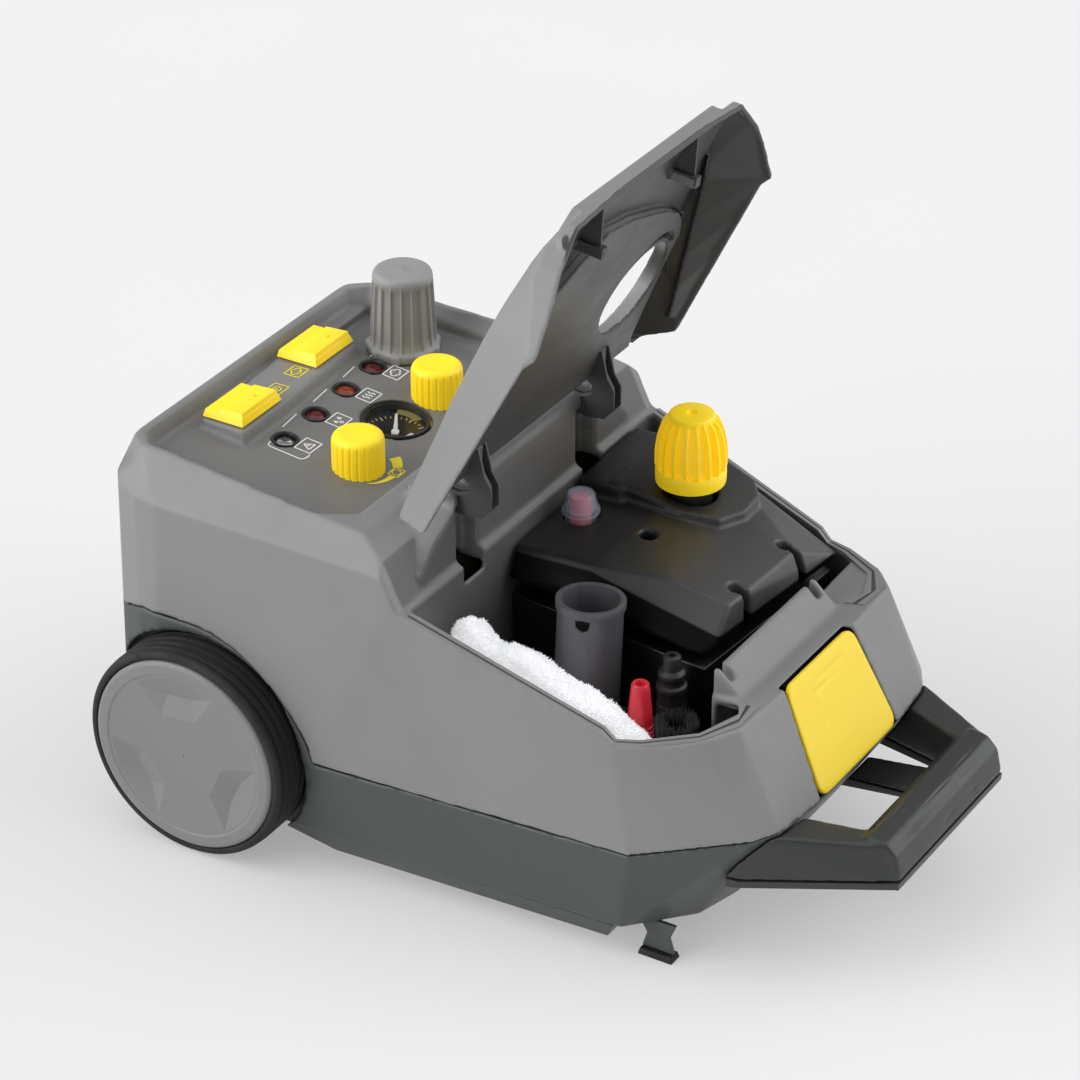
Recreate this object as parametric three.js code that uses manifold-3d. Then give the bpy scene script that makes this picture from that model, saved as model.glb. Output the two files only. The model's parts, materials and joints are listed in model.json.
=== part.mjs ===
// Compact commercial steam cleaner with its storage lid open.
// Millimetres, +Z up. X runs across the machine and Y along it, with the front handle towards -Y.
// Heights are measured from the floor, and lengths from the wheel axle until the last line moves
// the whole machine so that the origin is under the middle of its bounding box.
import * as THREE from 'three';
import { ConvexGeometry } from 'three/addons/geometries/ConvexGeometry.js';
import { mergeVertices } from 'three/addons/utils/BufferGeometryUtils.js';
import Module from 'manifold-3d';

const wasm = await Module();
wasm.setup();

// ---------- driving dimensions ----------
const AXLE_Z = 66;
const TYRE_R = 66;
const WHEEL_FACE_X = 160;
const WHEEL_INNER_X = 128;
const AXLE_R = 8;
const WALL = 3;
const GAP = 0.4;
const HINGE = [-112, 227];
const OPEN_ANGLE = -81.8;
const ARM_X = 66;
const PIN_R = 2.2;
const PANEL_Z = 217;
const PANEL_SLOPE = 0.106;
const CAP = [70, -198, 192.7];
const CAP_H = 44;
const REAR_CAP = [82, 4, 216];
const BUTTON = [20, -155];
const CENTRE_Y = 166.15;

const panelZ = (y) => PANEL_Z + PANEL_SLOPE * (y - 2);

// ---------- colours ----------
const paint = (color, roughness, metalness = 0) => ({ color, roughness, metalness });
const GREY = paint(0x858585, 0.5);
const LIGHT_GREY = paint(0x9a9a9a, 0.5);
const BASE_GREY = paint(0x4c4e4e, 0.55);
const BLACK = paint(0x1c1c1c, 0.45);
const GLOSS_BLACK = paint(0x0c0c0c, 0.25);
const YELLOW = paint(0xf5e11e, 0.5);
const RUBBER = paint(0x202020, 0.85);
const STEEL = paint(0xa8a8a8, 0.35, 1);
const BRASS = paint(0xb08d3c, 0.35, 1);
const WHITE = paint(0xf2f2f2, 0.9);
const RED = paint(0xb01c2c, 0.4);
const AMBER = paint(0xd4581c, 0.3);
const CLEAR = paint(0xd8dde2, 0.15);
const BOARD_GREEN = paint(0x2c5a3c, 0.6);

// ---------- solids ----------
function solid(geometry) {
  const bare = geometry.clone();
  bare.deleteAttribute('normal');
  bare.deleteAttribute('uv');
  const merged = mergeVertices(bare, 1e-4);
  const index = merged.index.array;
  const mesh = new wasm.Mesh({
    numProp: 3,
    vertProperties: new Float32Array(merged.attributes.position.array),
    triVerts: new Uint32Array(index),
  });
  const made = new wasm.Manifold(mesh);
  if (made.volume() > 0) return made;
  mesh.triVerts = new Uint32Array(index).reverse();
  return new wasm.Manifold(mesh);
}

function geometryOf(manifold) {
  const mesh = manifold.getMesh();
  const geometry = new THREE.BufferGeometry();
  const positions = new Float32Array(mesh.numVert * 3);
  for (let i = 0; i < mesh.numVert; i += 1) {
    positions[3 * i] = mesh.vertProperties[mesh.numProp * i];
    positions[3 * i + 1] = mesh.vertProperties[mesh.numProp * i + 1];
    positions[3 * i + 2] = mesh.vertProperties[mesh.numProp * i + 2];
  }
  geometry.setAttribute('position', new THREE.BufferAttribute(positions, 3));
  geometry.setIndex(new THREE.BufferAttribute(new Uint32Array(mesh.triVerts), 1));
  geometry.computeVertexNormals();
  return geometry;
}

const hull = (points) => solid(new ConvexGeometry(points.map((p) => new THREE.Vector3(...p))));

const shapeOf = (outline) => new THREE.Shape(outline.map((p) => new THREE.Vector2(...p)));

function prism(outline, depth, basis) {
  const geometry = new THREE.ExtrudeGeometry(shapeOf(outline), { depth, bevelEnabled: false });
  geometry.applyMatrix4(basis);
  return solid(geometry);
}

const X = new THREE.Vector3(1, 0, 0);
const Y = new THREE.Vector3(0, 1, 0);
const Z = new THREE.Vector3(0, 0, 1);

// outline is (y, z), standing across the machine from x0 to x1
function prismX(outline, x0, x1) {
  const basis = new THREE.Matrix4().makeBasis(Y, Z, X).setPosition(x0, 0, 0);
  return prism(outline, x1 - x0, basis);
}

// outline is (x, z), standing along the machine from y0 to y1
function prismY(outline, y0, y1) {
  const basis = new THREE.Matrix4().makeBasis(X, Z, Y.clone().negate()).setPosition(0, y1, 0);
  return prism(outline, y1 - y0, basis);
}

// outline is (x, y), standing up from z0 to z1
function prismZ(outline, z0, z1) {
  return prism(outline, z1 - z0, new THREE.Matrix4().setPosition(0, 0, z0));
}

function box(x0, x1, y0, y1, z0, z1) {
  const geometry = new THREE.BoxGeometry(x1 - x0, y1 - y0, z1 - z0);
  geometry.translate((x0 + x1) / 2, (y0 + y1) / 2, (z0 + z1) / 2);
  return solid(geometry);
}

// profile is (radius, height) going once round the section; the axis is Z through (x, y)
function turned(profile, segments, x = 0, y = 0) {
  const points = profile.map((p) => new THREE.Vector2(...p));
  points.push(points[0].clone());
  const geometry = new THREE.LatheGeometry(points, segments);
  geometry.rotateX(Math.PI / 2);
  geometry.translate(x, y, 0);
  return solid(geometry);
}

const ring = (inner, outer, z0, z1, segments, x = 0, y = 0) =>
  turned([[inner, z0], [outer, z0], [outer, z1], [inner, z1]], segments, x, y);

const rod = (radius, z0, z1, segments, x = 0, y = 0) =>
  turned([[0, z0], [radius, z0], [radius, z1], [0, z1]], segments, x, y);

// a solid turned about Z is laid along X with its +Z end towards side * X
function layAlongX(made, side, y, z) {
  return made.rotate([0, 90 * side, 0]).translate([0, y, z]);
}

const mirrored = (half) => [...half, ...[...half].reverse().map(([x, y]) => [-x, y])];
const bothSides = (points) => points.flatMap(([x, y, z]) => [[x, y, z], [-x, y, z]]);

// ---------- body envelope shared by both casings ----------
const BODY_POINTS = [
  [96, 64, 24], [120, 56, 24], [131, 40, 24], [134, 20, 24], [134, -80, 24], [124, -266, 24], [90, -297, 24], [60, -305, 24],
  [90, 72, 77], [116, 70, 77], [129, 60, 77], [136, 44, 77], [140, 28, 77], [140.5, -76, 77], [129, -274, 77],
  [45, -348, 92], [85, -344, 92], [101, -335, 92], [114, -308, 88],
  [40, -320, 151], [87, -318, 151], [104, -304, 148], [121, -277, 145], [126.4, -261.4, 144],
  [90, 71, 211], [115, 69, 211], [128, 59, 211], [135, 43, 211], [138, 28, 211], [138.5, -133, 211],
  [88, 64, 236], [106, 60, 236], [114, 50, 236], [119, 34, 236], [121, -121, 236],
];

const SEAM = [
  [-360, 91.6], [-335, 91.6], [-308, 85.5], [-274, 77.5], [-76, 75], [-73, 84], [-68, 93], [-60, 104], [-50, 115],
  [-38, 125], [-24, 134], [-8, 139.5], [8, 141], [40, 139.5], [56, 133.5], [90, 126],
];

const RIM = [
  [90, 222], [70, 223], [62, 233], [40, 233.5], [-104, 226], [-121, 217], [-133, 191.7], [-254.6, 150.3], [-261.4, 144],
  [-290, 146], [-318, 151], [-360, 151],
];

const SHOULDER = [
  [-150, 10], [150, 10], [150, 199.5], [138.5, 211], [118, 232], [112, 240], [-112, 240], [-118, 232],
  [-138.5, 211], [-150, 199.5],
];

const lowered = (outline, amount) => outline.map(([a, b]) => [a, b - amount]);

const inset = ([x, y, z]) => [x * (1 - WALL / 128), (y + 140) * (1 - WALL / 200) - 140, z];

const bodyHull = () => hull(bothSides(BODY_POINTS));
const innerHull = () => hull(bothSides(BODY_POINTS.map(inset)));

// ---------- storage bay ----------
const BAY = [
  [-131, -137], [-120.5, -259], [-115, -274], [-97, -299], [-72, -309], [-60, -302], [-58, -284], [58, -284],
  [110, -282], [120, -262], [131, -137],
];


function wheelWell(radius, innerX) {
  const side = rod(radius, innerX, 200, 56);
  const right = layAlongX(side, 1, 0, AXLE_Z);
  return right.add(layAlongX(side, -1, 0, AXLE_Z));
}

function upperCasing() {
  const profile = [...SEAM.map(([y, z]) => [y, z + GAP]), ...RIM];
  const clip = prismX(profile, -150, 150).intersect(prismY(SHOULDER, -360, 90));
  const outer = bodyHull().intersect(clip);
  const innerProfile = [...SEAM.map(([y, z]) => [y, z - 30]), ...lowered(RIM, WALL)];
  const innerClip = prismX(innerProfile, -150, 150).intersect(prismY(lowered(SHOULDER, 4), -360, 90));
  const inner = innerHull().intersect(innerClip);
  const bayWalls = prismZ(BAY, 40, 300).intersect(outer);
  const bayRing = hullOffsetBay().intersect(outer);
  const backWall = hull(bothSides([[112, -132, 186], [112, -132, 200], [96, -132, 216], [72, -132, 226.5],
    [112, -116, 186], [112, -116, 208], [96, -108, 222], [72, -100, 229]]));
  const bead = prismX([[-132, 224], [-131.4, 231.4], [-128.6, 234.6], [-124, 235.4], [-100, 232], [-100, 224]], -76, 76);
  const lugs = [-1, 1].map((side) => box(side * ARM_X - 10, side * ARM_X + 10, -119, -105, 215, 232));
  let casing = outer.subtract(inner).add(bayRing).add(backWall).add(bead);
  casing = casing.add(trayBlock().intersect(outer)).add(plinth());
  lugs.forEach((lug) => { casing = casing.add(lug); });
  casing = casing.subtract(prismZ(BAY, 40, 300)).subtract(bayWalls).subtract(trayCut()).add(plinth());
  casing = casing.subtract(wellCut()).subtract(wheelWell(69, 122));
  [-1, 1].forEach((side) => {
    const arm = box(side * ARM_X - 5.5, side * ARM_X + 5.5, -138, -99, 180, 250);
    const bore = layAlongX(rod(PIN_R + 0.08, side * ARM_X - 8.2, side * ARM_X + 8.2, 16), 1, HINGE[0], HINGE[1]);
    const recess = box(side * 64 - 10.5, side * 64 + 10.5, -138, -120.5, 179, 226);
    casing = casing.subtract(arm).subtract(recess).subtract(bore);
  });
  controlHoles().forEach((hole) => { casing = casing.subtract(hole); });
  casing = casing.subtract(padOpening(0.5)).subtract(ledgeCut());
  return casing.add(ledgeLip());
}

function hullOffsetBay() {
  const grown = BAY.map(([x, y]) => [x * 1.04, y > -200 ? y + WALL : y - WALL]);
  return prismZ(grown, 60, 300).intersect(box(-150, 150, -300, -100, 78.5, 300));
}

// the console's sunken top: a thick block under it is hollowed from above
function trayBlock() {
  const floor = [[-95, panelZ(-95) - WALL], [60, panelZ(60) - WALL], [60, 236], [-95, 236]];
  return prismX(floor, -126, 126).add(box(56, 118, -46, 52, 211, 217));
}

function trayCut() {
  const low = [[-98, 54], [-106, 46], [-104, -66], [-92, -76], [92, -76], [104, -66], [106, 46], [98, 54]];
  const high = [[-102, 58], [-113, 48], [-121, -70], [-108, -90], [108, -90], [121, -70], [113, 48], [102, 58]];
  return hull([
    ...low.map(([x, y]) => [x, y, panelZ(y)]),
    ...high.map(([x, y]) => [x, y, y > 0 ? 233 : 226]),
    ...high.map(([x, y]) => [x, y, 250]),
  ]);
}

const ROCKERS = [[-45, 31.5], [36, 36]];

const plinth = () => hull(ROCKERS.flatMap(([x, y]) => [
  ...[[-25, -21], [25, -21], [25, 14], [-25, 14]].map(([dx, dy]) => [x + dx, y + dy, 211]),
  ...[[-20, -15], [20, -15], [20, 14], [-20, 14]].map(([dx, dy]) => [x + dx, y + dy, 227]),
]));

function wellCut() {
  const outline = [[64, 46], [106, 46], [112, 34], [112, -34], [104, -40], [74, -38], [62, -24], [60, 2]];
  return prismZ(outline, REAR_CAP[2] - 0.4, 250);
}

const LAMPS = [[-46, 1.5], [-12.5, 3], [21, 4.5], [52, 6]];
const KNOBS = [[-44, -47], [48, -41]];
const GAUGE = [12, -36];

function controlHoles() {
  const holes = LAMPS.map(([x, y]) => rod(7.6, 190, 250, 20, x, y));
  KNOBS.forEach(([x, y]) => holes.push(rod(3.6, 190, 250, 16, x, y)));
  holes.push(rod(20.4, 190, 250, 32, GAUGE[0], GAUGE[1]));
  holes.push(rod(15.4, 190, 250, 28, REAR_CAP[0], REAR_CAP[1]));
  ROCKERS.forEach(([x, y]) => holes.push(box(x - 14.4, x + 14.4, y - 10.4, y + 10.4, 190, 250)));
  holes.push(rearHole(9.4, 60, 150));
  holes.push(rearHole(15.4, -55, 150));
  return holes;
}

const rearHole = (radius, x, z) => rod(radius, -80, -40, 24).rotate([90, 0, 0]).translate([x, 0, z]);

// ---------- front ledge, latch pad and handle ----------
const PAD_LOW = [45.2, -348, 92.4];
const PAD_HIGH = [38.3, -319.2, 151];

function padSlab(grow, inward, outward) {
  const normal = [0, -0.897, 0.441];
  const along = [0, 0.441, 0.897];
  const points = [];
  [[PAD_LOW, -grow], [PAD_HIGH, grow]].forEach(([corner, step]) => {
    [-inward, outward].forEach((depth) => {
      [-1, 1].forEach((side) => {
        const x = side * (corner[0] + grow);
        const y = corner[1] + normal[1] * depth + along[1] * step;
        const z = corner[2] + normal[2] * depth + along[2] * step;
        points.push([x, y, z]);
      });
    });
  });
  return hull(points);
}

function padOpening(grow) {
  return padSlab(grow, 14, 12);
}

function latchPad() {
  const rounded = prismZ(mirrored([[38, -400], [45.2, -340], [40, -322], [34, -300]]), 92.6, 190);
  return padSlab(0, 4.2, 0.9).intersect(rounded);
}

const ledgeCut = () => prismX([[-278, 152.5], [-312, 150], [-330, 152.5], [-330, 170], [-278, 170]], -58, 58);

function ledgeLip() {
  const lip = prismX([[-284.4, 140], [-284.4, 161.6], [-287, 161.6], [-301, 149.2], [-301, 140]], -57, 57);
  const notch = prismX([[-280, 151], [-289, 151], [-297, 158], [-280, 166]], 47, 53);
  return lip.subtract(notch).subtract(notch.mirror([1, 0, 0]));
}

function frontHandle(z0, z1) {
  const arm = (side) => hull([
    [side * 99, -318, 56], [side * 99, -318, 93], [side * 72, -318, 56], [side * 72, -318, 93],
    [side * 99, -326, 92], [side * 66, -340, 92], [side * 99, -326, 58], [side * 66, -340, 58],
    [side * 63.5, -400, 66], [side * 63, -396, 89], [side * 52, -384, 89], [side * 50, -384, 64],
    [side * 63.5, -405, 64], [side * 52, -378, 64],
  ]);
  const grip = prismX([
    [-384, 63.5], [-405, 63.5], [-405.5, 70], [-402.5, 84], [-396, 90.5], [-385, 92], [-378.5, 87], [-377.5, 70],
  ], -63.4, 63.4);
  const web = hull([
    [20, -318, 56], [46, -318, 56], [20, -386, 65], [46, -386, 65],
    [20, -318, 62], [46, -318, 62], [20, -386, 72], [46, -386, 72],
  ]);
  const whole = arm(-1).add(arm(1)).add(grip).add(web);
  const kept = whole.intersect(prismX([[-420, z0], [-300, z0 - 9], [-300, z1 - 9], [-420, z1]], -120, 120));
  const body = hull(bothSides(BODY_POINTS.map(([x, y, z]) => [x * 1.004, (y + 140) * 1.003 - 140, z])));
  return kept.subtract(body);
}

// ---------- lower base ----------
function lowerBase() {
  const profile = [[-360, 24], ...SEAM, [90, 24]];
  const outer = bodyHull().intersect(prismX(profile, -150, 150));
  const inner = innerHull().intersect(prismX([[-360, 24 + WALL], ...SEAM.map(([y, z]) => [y, z + 20]),
    [90, 24 + WALL]], -150, 150));
  const wellSkin = wheelWell(69 + WALL, 119);
  let base = outer.subtract(inner.subtract(wellSkin)).subtract(wheelWell(69, 122));
  base = base.subtract(layAlongX(rod(AXLE_R + 0.1, -130, 130, 32), 1, 0, AXLE_Z));
  return base;
}

const bottomPan = () => hull(bothSides([
  [112, 48, 23.6], [132, -82, 23.6], [123, -262, 23.6], [108, 44, 12], [128, -82, 12], [119, -256, 12],
])).subtract(wheelWell(69.5, 118));

// ---------- wheels ----------
const WHEEL_SEGMENTS = 32;

function tyre() {
  const profile = [[58.3, WHEEL_INNER_X], [63, WHEEL_INNER_X], [TYRE_R - 0.6, WHEEL_INNER_X + 2]];
  const ribs = 4;
  const pitch = 6.4;
  for (let i = 0; i < ribs; i += 1) {
    const start = WHEEL_INNER_X + 2.4 + i * pitch;
    profile.push([TYRE_R, start], [TYRE_R, start + 4.6], [TYRE_R - 2, start + 5.6]);
  }
  profile.push([TYRE_R, 156], [64.5, 158.2], [60.5, 158.6], [60.5, 151], [58.3, 150.6]);
  return turned(profile, WHEEL_SEGMENTS);
}

const wheelHub = () => turned([
  [AXLE_R + 0.08, 126.5], [14, 126.5], [14, 129], [52, 131], [58, 131], [58, 150.3], [52, 150.3], [52, 138],
  [16, 138], [14, 146], [AXLE_R + 0.08, 146],
], WHEEL_SEGMENTS);

function hubCap() {
  let cap = turned([[0, 153], [46, 151.4], [60.1, 151.4], [60.1, 157.6], [57, 159.6], [50, WHEEL_FACE_X],
    [0, WHEEL_FACE_X]], WHEEL_SEGMENTS);
  for (let i = 0; i < 3; i += 1) {
    const pocket = hull([
      [-26, 45, 161], [26, 45, 161], [-13, 22, 161], [13, 22, 161], [0, 51, 161],
      [-13, 40, 157], [13, 40, 157], [-5, 30, 159], [5, 30, 159],
    ]).rotate([0, 0, 120 * i + 75]);
    cap = cap.subtract(pocket);
  }
  return cap;
}

const axleClip = () => ring(AXLE_R + 0.3, 12.5, 146.4, 147.8, 24);

// ---------- lid, modelled closed about its hinge and then swung open ----------
const LID_TOP = [
  [-128, 216], [-143, 214.5], [-200, 200.5], [-257, 183.5], [-300, 169.5], [-318, 161.5], [-326, 155], [-326, 152],
];
const LID_RIM = [[-322, 151.8], [-318, 151.8], [-290, 146.8], [-262, 145.2], [-254.6, 151.4], [-136, 192.2]];
const LID_PLAN = mirrored([
  [112, -120], [134, -127], [140.5, -133], [140, -142], [128, -262], [106, -303], [88, -322], [40, -326],
]);
const LID_CROWN = [[-120, 142, 189, 217], [-262, 128.5, 146, 183], [-326, 107, 146, 162]];
const LID_LIP = [[-326, 152], [-326, 161.6], [-322.5, 164.6], [-304, 171.4], [-300, 168], [-318, 158]];

function lidEnvelope() {
  const profile = prismX([...LID_TOP, ...LID_RIM], -150, 150);
  const crown = LID_CROWN.flatMap(([y, half, low, high]) =>
    [[half, y, low - 6], [half, y, low + 3], [half - 19, y, high + 2]]);
  return hull(bothSides(crown)).intersect(prismZ(LID_PLAN, 100, 300)).intersect(profile);
}

function lidSolid() {
  const outer = lidEnvelope();
  const below = [...LID_TOP.map(([y, z]) => [Math.min(Math.max(y, -322), -131), z - 2.6]), [-322, 120], [-131, 120]];
  const plan = LID_PLAN.map(([x, y]) => [x * (1 - 2.6 / 128), (y + 220) * (1 - 2.6 / 100) - 220]);
  const cavity = prismX(below, -150, 150).intersect(prismZ(plan, 100, 300)).intersect(lidInnerHull());
  const collar = lidHole(36, -4.2, 4).intersect(prismX([...LID_TOP, [-326, 120], [-128, 120]], -150, 150));
  const lip = prismX(LID_LIP, -74, 74).intersect(prismZ(LID_PLAN, 100, 300));
  let made = outer.subtract(cavity).add(collar).add(lip).subtract(lidHole(33, -40, 40));
  made = made.subtract(box(-114, 114, -133.2, -100, 150, 240));
  [-1, 1].forEach((side) => {
    made = made.add(prismX(LID_ARM, side * ARM_X - 3.6, side * ARM_X + 3.6));
    made = made.add(box(side * 49.6 - 2.5, side * 49.6 + 2.5, -291.5, -285, 153.5, 171.6));
    const bore = layAlongX(rod(PIN_R + 0.08, side * ARM_X - 9, side * ARM_X + 9, 16), 1, HINGE[0], HINGE[1]);
    made = made.subtract(bore);
  });
  return made;
}

function lidInnerHull() {
  const points = LID_CROWN.flatMap(([y, half, low, high]) =>
    [[half - 3, y, low - 20], [half - 3, y, low + 1.5], [half - 21, y, high - 0.6]]);
  return hull(bothSides(points));
}

// the hole's axis leans with the lid so that the collar stands square to its top
const lidHole = (radius, low, high) =>
  rod(radius, low, high, 36).rotate([17, 0, 0]).translate([CAP[0], -195, 197.6]);

const LID_ARM = [
  [-107, 224], [-107, 230], [-110, 232.4], [-115, 232.4], [-117.4, 229], [-118, 212], [-123, 204], [-129, 204],
  [-134, 213.4], [-158, 209.4], [-153, 201], [-144, 197.5], [-137.5, 195], [-131, 189.5], [-119, 188], [-111, 193], [-108, 203],
];

// ---------- water tank, cover and filler ----------
const tank = () => hull([
  [-29, -139.5, 30], [112, -139.5, 30], [-29, -139.5, 150], [118, -139.5, 160],
  [-28, -264, 30], [96, -264, 30], [-29, -264, 140], [106, -272, 138],
]).subtract(rod(13.4, 132, 250, 24, CAP[0], CAP[1]));

function tankCover() {
  const near = hull([
    [-24, -139.5, 180], [-34, -139.5, 163], [104, -139.5, 184], [119, -139.5, 172],
    [-20, -187, 180], [-30, -187, 166], [-10, -228, 178], [80, -190, 184], [117, -200, 176],
    [-5, -266, 170], [66, -268, 169], [-20, -266, 151], [104, -276, 151], [109, -274, 146], [-26, -260, 145],
  ]);
  const raised = hull([
    [40, -139.5, 170], [43, -139.5, 190], [108, -139.5, 192.5], [117, -139.5, 180], [44, -168, 191],
    [112, -168, 191], [116, -190, 176], [40, -168, 170],
  ]);
  const platform = prismZ(
    [[46, -160], [106, -160], [112, -196], [105, -221], [92, -231], [72, -233], [54, -226], [46, -205]], 160, 193,
  ).intersect(prismX([[-160, 160], [-160, 192.5], [-233, 181.5], [-233, 160]], 0, 140));
  const hollow = hull([
    [-24, -139, 164], [108, -139, 172], [100, -268, 145], [-18, -260, 145], [-24, -139, 100], [112, -139, 100],
    [104, -268, 100], [-22, -260, 100],
  ]);
  const keyhole = (x) => rod(4.5, 120, 210, 14, x, -260).add(box(x - 3, x + 3, -280, -260, 120, 210));
  let cover = near.add(raised).add(platform).subtract(hollow).subtract(tankAbove());
  cover = cover.subtract(rod(15.6, 120, 250, 28, CAP[0], CAP[1])).subtract(rod(9.8, 120, 250, 24, ...BUTTON));
  return cover.subtract(rod(5, 120, 250, 18, 22, -198)).subtract(keyhole(12)).subtract(keyhole(68));
}

const tankAbove = () => hull([
  [-40, -138, 100], [118.6, -138, 100], [-40, -138, 150.6], [118.6, -138, 160.6],
  [-40, -264.6, 100], [106, -272.6, 100], [-40, -264.6, 140.6], [106.6, -272.6, 138.6],
]);

const fillerNeck = () => turned([
  [10, 134], [13, 134], [13, 188], [14.6, 188], [14.6, 206], [14, 207], [12, 207], [12, 140], [10, 140],
], 20, CAP[0], CAP[1]);

const resetDome = () => turned([
  [6.4, 175], [9.4, 175], [9.4, 184.4], [11.2, 184.4], [11, 186.8], [10, 187.4], [8, 195.8], [7.2, 196.6], [0, 196.6],
  [0, 195.8], [7, 195.4], [9, 187.2], [8.6, 186], [6.4, 186],
], 20, ...BUTTON);

function ribbedCap(base, height, low, high, ribs, segments) {
  const [x, y, z] = base;
  const body = turned([
    [0, z + height - 4], [15.4, z + height - 4], [15.4, z], [low, z], [low, z + 9], [high, z + height - 2],
    [high - 2.5, z + height], [0, z + height],
  ], segments, 0, 0);
  let made = body;
  for (let i = 0; i < ribs; i += 1) {
    const rib = hull([
      [low - 2, -1.1, z + 9], [low - 2, 1.1, z + 9], [low + 0.9, -0.9, z + 9], [low + 0.9, 0.9, z + 9],
      [high - 2, -1.1, z + height - 6], [high - 2, 1.1, z + height - 6],
      [high + 0.7, -0.8, z + height - 7], [high + 0.7, 0.8, z + height - 7],
    ]).rotate([0, 0, (360 / ribs) * i]);
    made = made.add(rib);
  }
  return made.translate([x, y, 0]);
}

// ---------- console controls ----------
function knob() {
  const body = turned([
    [0, 21], [13.6, 21], [14.8, 19.6], [15.2, 2], [14.6, 0.8], [3.2, 0.8], [3.2, -14], [0, -14],
  ], 24);
  let made = body;
  for (let i = 0; i < 12; i += 1) {
    const groove = box(14.4, 16.5, -0.8, 0.8, 2, 17.5).rotate([0, 0, 30 * i]);
    made = made.subtract(groove);
  }
  return made;
}

function rocker() {
  const cover = hull([
    [-19.5, -14, 0], [19.5, -14, 0], [19.5, 13.4, 0], [-19.5, 13.4, 0],
    [-18, -13, 4], [18, -13, 4], [18, 12.6, 4], [-18, 12.6, 4],
  ]);
  const raised = hull([
    [-18, -13, 3], [18, -13, 3], [18, 4, 3], [-18, 4, 3], [-17, -12, 7], [17, -12, 7], [17, 3, 6], [-17, 3, 6],
  ]);
  const stem = box(-10, 10, -7, 7, -9, 1);
  return cover.add(raised).add(stem).subtract(rod(1.4, 3, 20, 12, 6, -6));
}

const lampLens = () => turned([[0, -5], [7, -5], [7, -1.2], [5.4, -0.4], [3.4, -1.6], [0, -1.2]], 20);

const gaugeBody = () => turned([
  [0, -14], [18, -14], [18, -6], [20, -6], [20, -0.3], [17.6, -0.3], [17.6, -4], [0, -4],
], 32);

const gaugeLens = () => rod(17.2, -1.3, -0.4, 32);

function gaugeNeedle() {
  const hub = rod(2.4, -3.6, -1.7, 16);
  const blade = prismZ([[-1.5, -3], [1.5, -3], [0.7, 19], [-0.7, 19]], -2.8, -1.8);
  return hub.add(blade).rotate([0, 0, -58.7]).translate([-8.3, -5, 0]);
}

// ---------- works inside the casings ----------
const boiler = () => turned([
  [0, 84], [50, 84], [58, 92], [58, 164], [50, 174], [14, 176], [0, 176],
], 32, -30, -62);

const heatingElement = () => ring(20, 48, 74.4, 83.6, 32, -30, -62);

function pump() {
  const body = rod(20, 0, 46, 24).rotate([90, 0, 0]).translate([64, 40, 120]);
  const head = box(46, 82, -26, -5.6, 103, 139);
  const foot = box(50, 78, -20, 36, 84, 104);
  return body.add(head).add(foot);
}

function solenoidValve() {
  const coil = box(56, 86, -92, -66, 150, 178);
  const stem = rod(6, 130, 150.5, 16, 71, -79);
  const bodyBlock = box(60, 82, -90, -68, 112, 130.5);
  return coil.add(stem).add(bodyBlock);
}

const thermostat = () => rod(9, 176.5, 184, 20, -30, -62);
const pressureSwitch = () => rod(11, 176.4, 190, 20, -62, -62).add(box(-66, -58, -66, -58, 190, 198));
const controlBoard = () => box(-48, 48, 50, 52, 84, 128);

function freshTank() {
  const body = hull([
    [92, 40, 150], [118, 40, 150], [92, -60, 150], [118, -60, 150],
    [92, 40, 204], [118, 40, 204], [92, -60, 204], [118, -60, 204], [62, 20, 182], [62, -16, 182],
    [62, 20, 204], [62, -16, 204],
  ]);
  return body.subtract(rod(10.4, 186, 240, 24, REAR_CAP[0], REAR_CAP[1]));
}

const rearNeck = () => turned([
  [8, 192], [10, 192], [10, 204.6], [13, 204.6], [14.9, 208], [14.9, 234], [13, 234], [12, 208], [8, 204],
], 20, REAR_CAP[0], REAR_CAP[1]);

function cableGland() {
  const nut = turned([[4, -73.2], [7, -73.2], [11.5, -72.7], [11.5, -71.9], [9, -71.9], [9, -54], [4, -54]], 20);
  return nut.rotate([90, 0, 0]).translate([60, 0, 150]);
}

function steamSocket() {
  const body = turned([[7, -73.2], [17.5, -73.2], [17.5, -71.9], [15, -71.9], [15, -49], [0, -49], [0, -53], [7, -53]], 20);
  return body.rotate([90, 0, 0]).translate([-55, 0, 150]);
}

// ---------- storage tray and what it holds ----------
function storageTray() {
  const outer = hull([
    [-121, -140, 52], [-30, -140, 52], [-123, -140, 100], [-30, -140, 100], [-119, -262, 52], [-30, -271, 52],
    [-119, -262, 100], [-30, -271, 100], [-96, -291, 52], [-98, -291, 100], [-74, -288, 52], [-74, -288, 100],
  ]);
  const inner = hull([
    [-118, -142.6, 55], [-32.6, -142.6, 55], [-120, -142.6, 110], [-32.6, -142.6, 110], [-116, -260, 55],
    [-32.6, -268, 55], [-116, -260, 110], [-32.6, -268, 110], [-94, -288, 55], [-96, -288, 110], [-75, -285, 55],
    [-75, -285, 110],
  ]);
  return outer.subtract(inner);
}

function extensionTube() {
  const tube = ring(16.6, 18.6, 57, 178, 28);
  const collar = ring(16.7, 19.8, 173.4, 178, 28);
  const round = rod(4.1, -30, 0, 16).rotate([90, 0, 0]).rotate([0, 0, 180]);
  const catchHole = round.add(box(-4.1, 4.1, -30, 0, 0, 3.4));
  const hole = catchHole.rotate([0, 0, -74]).translate([0, 0, 169.8]);
  return tube.add(collar).subtract(hole);
}

const redNozzle = () => turned([
  [0, 55.4], [9, 55.4], [9, 108], [7.6, 140], [4.6, 148], [4.6, 151], [2.2, 151], [2.2, 130], [0, 130],
], 18);

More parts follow.
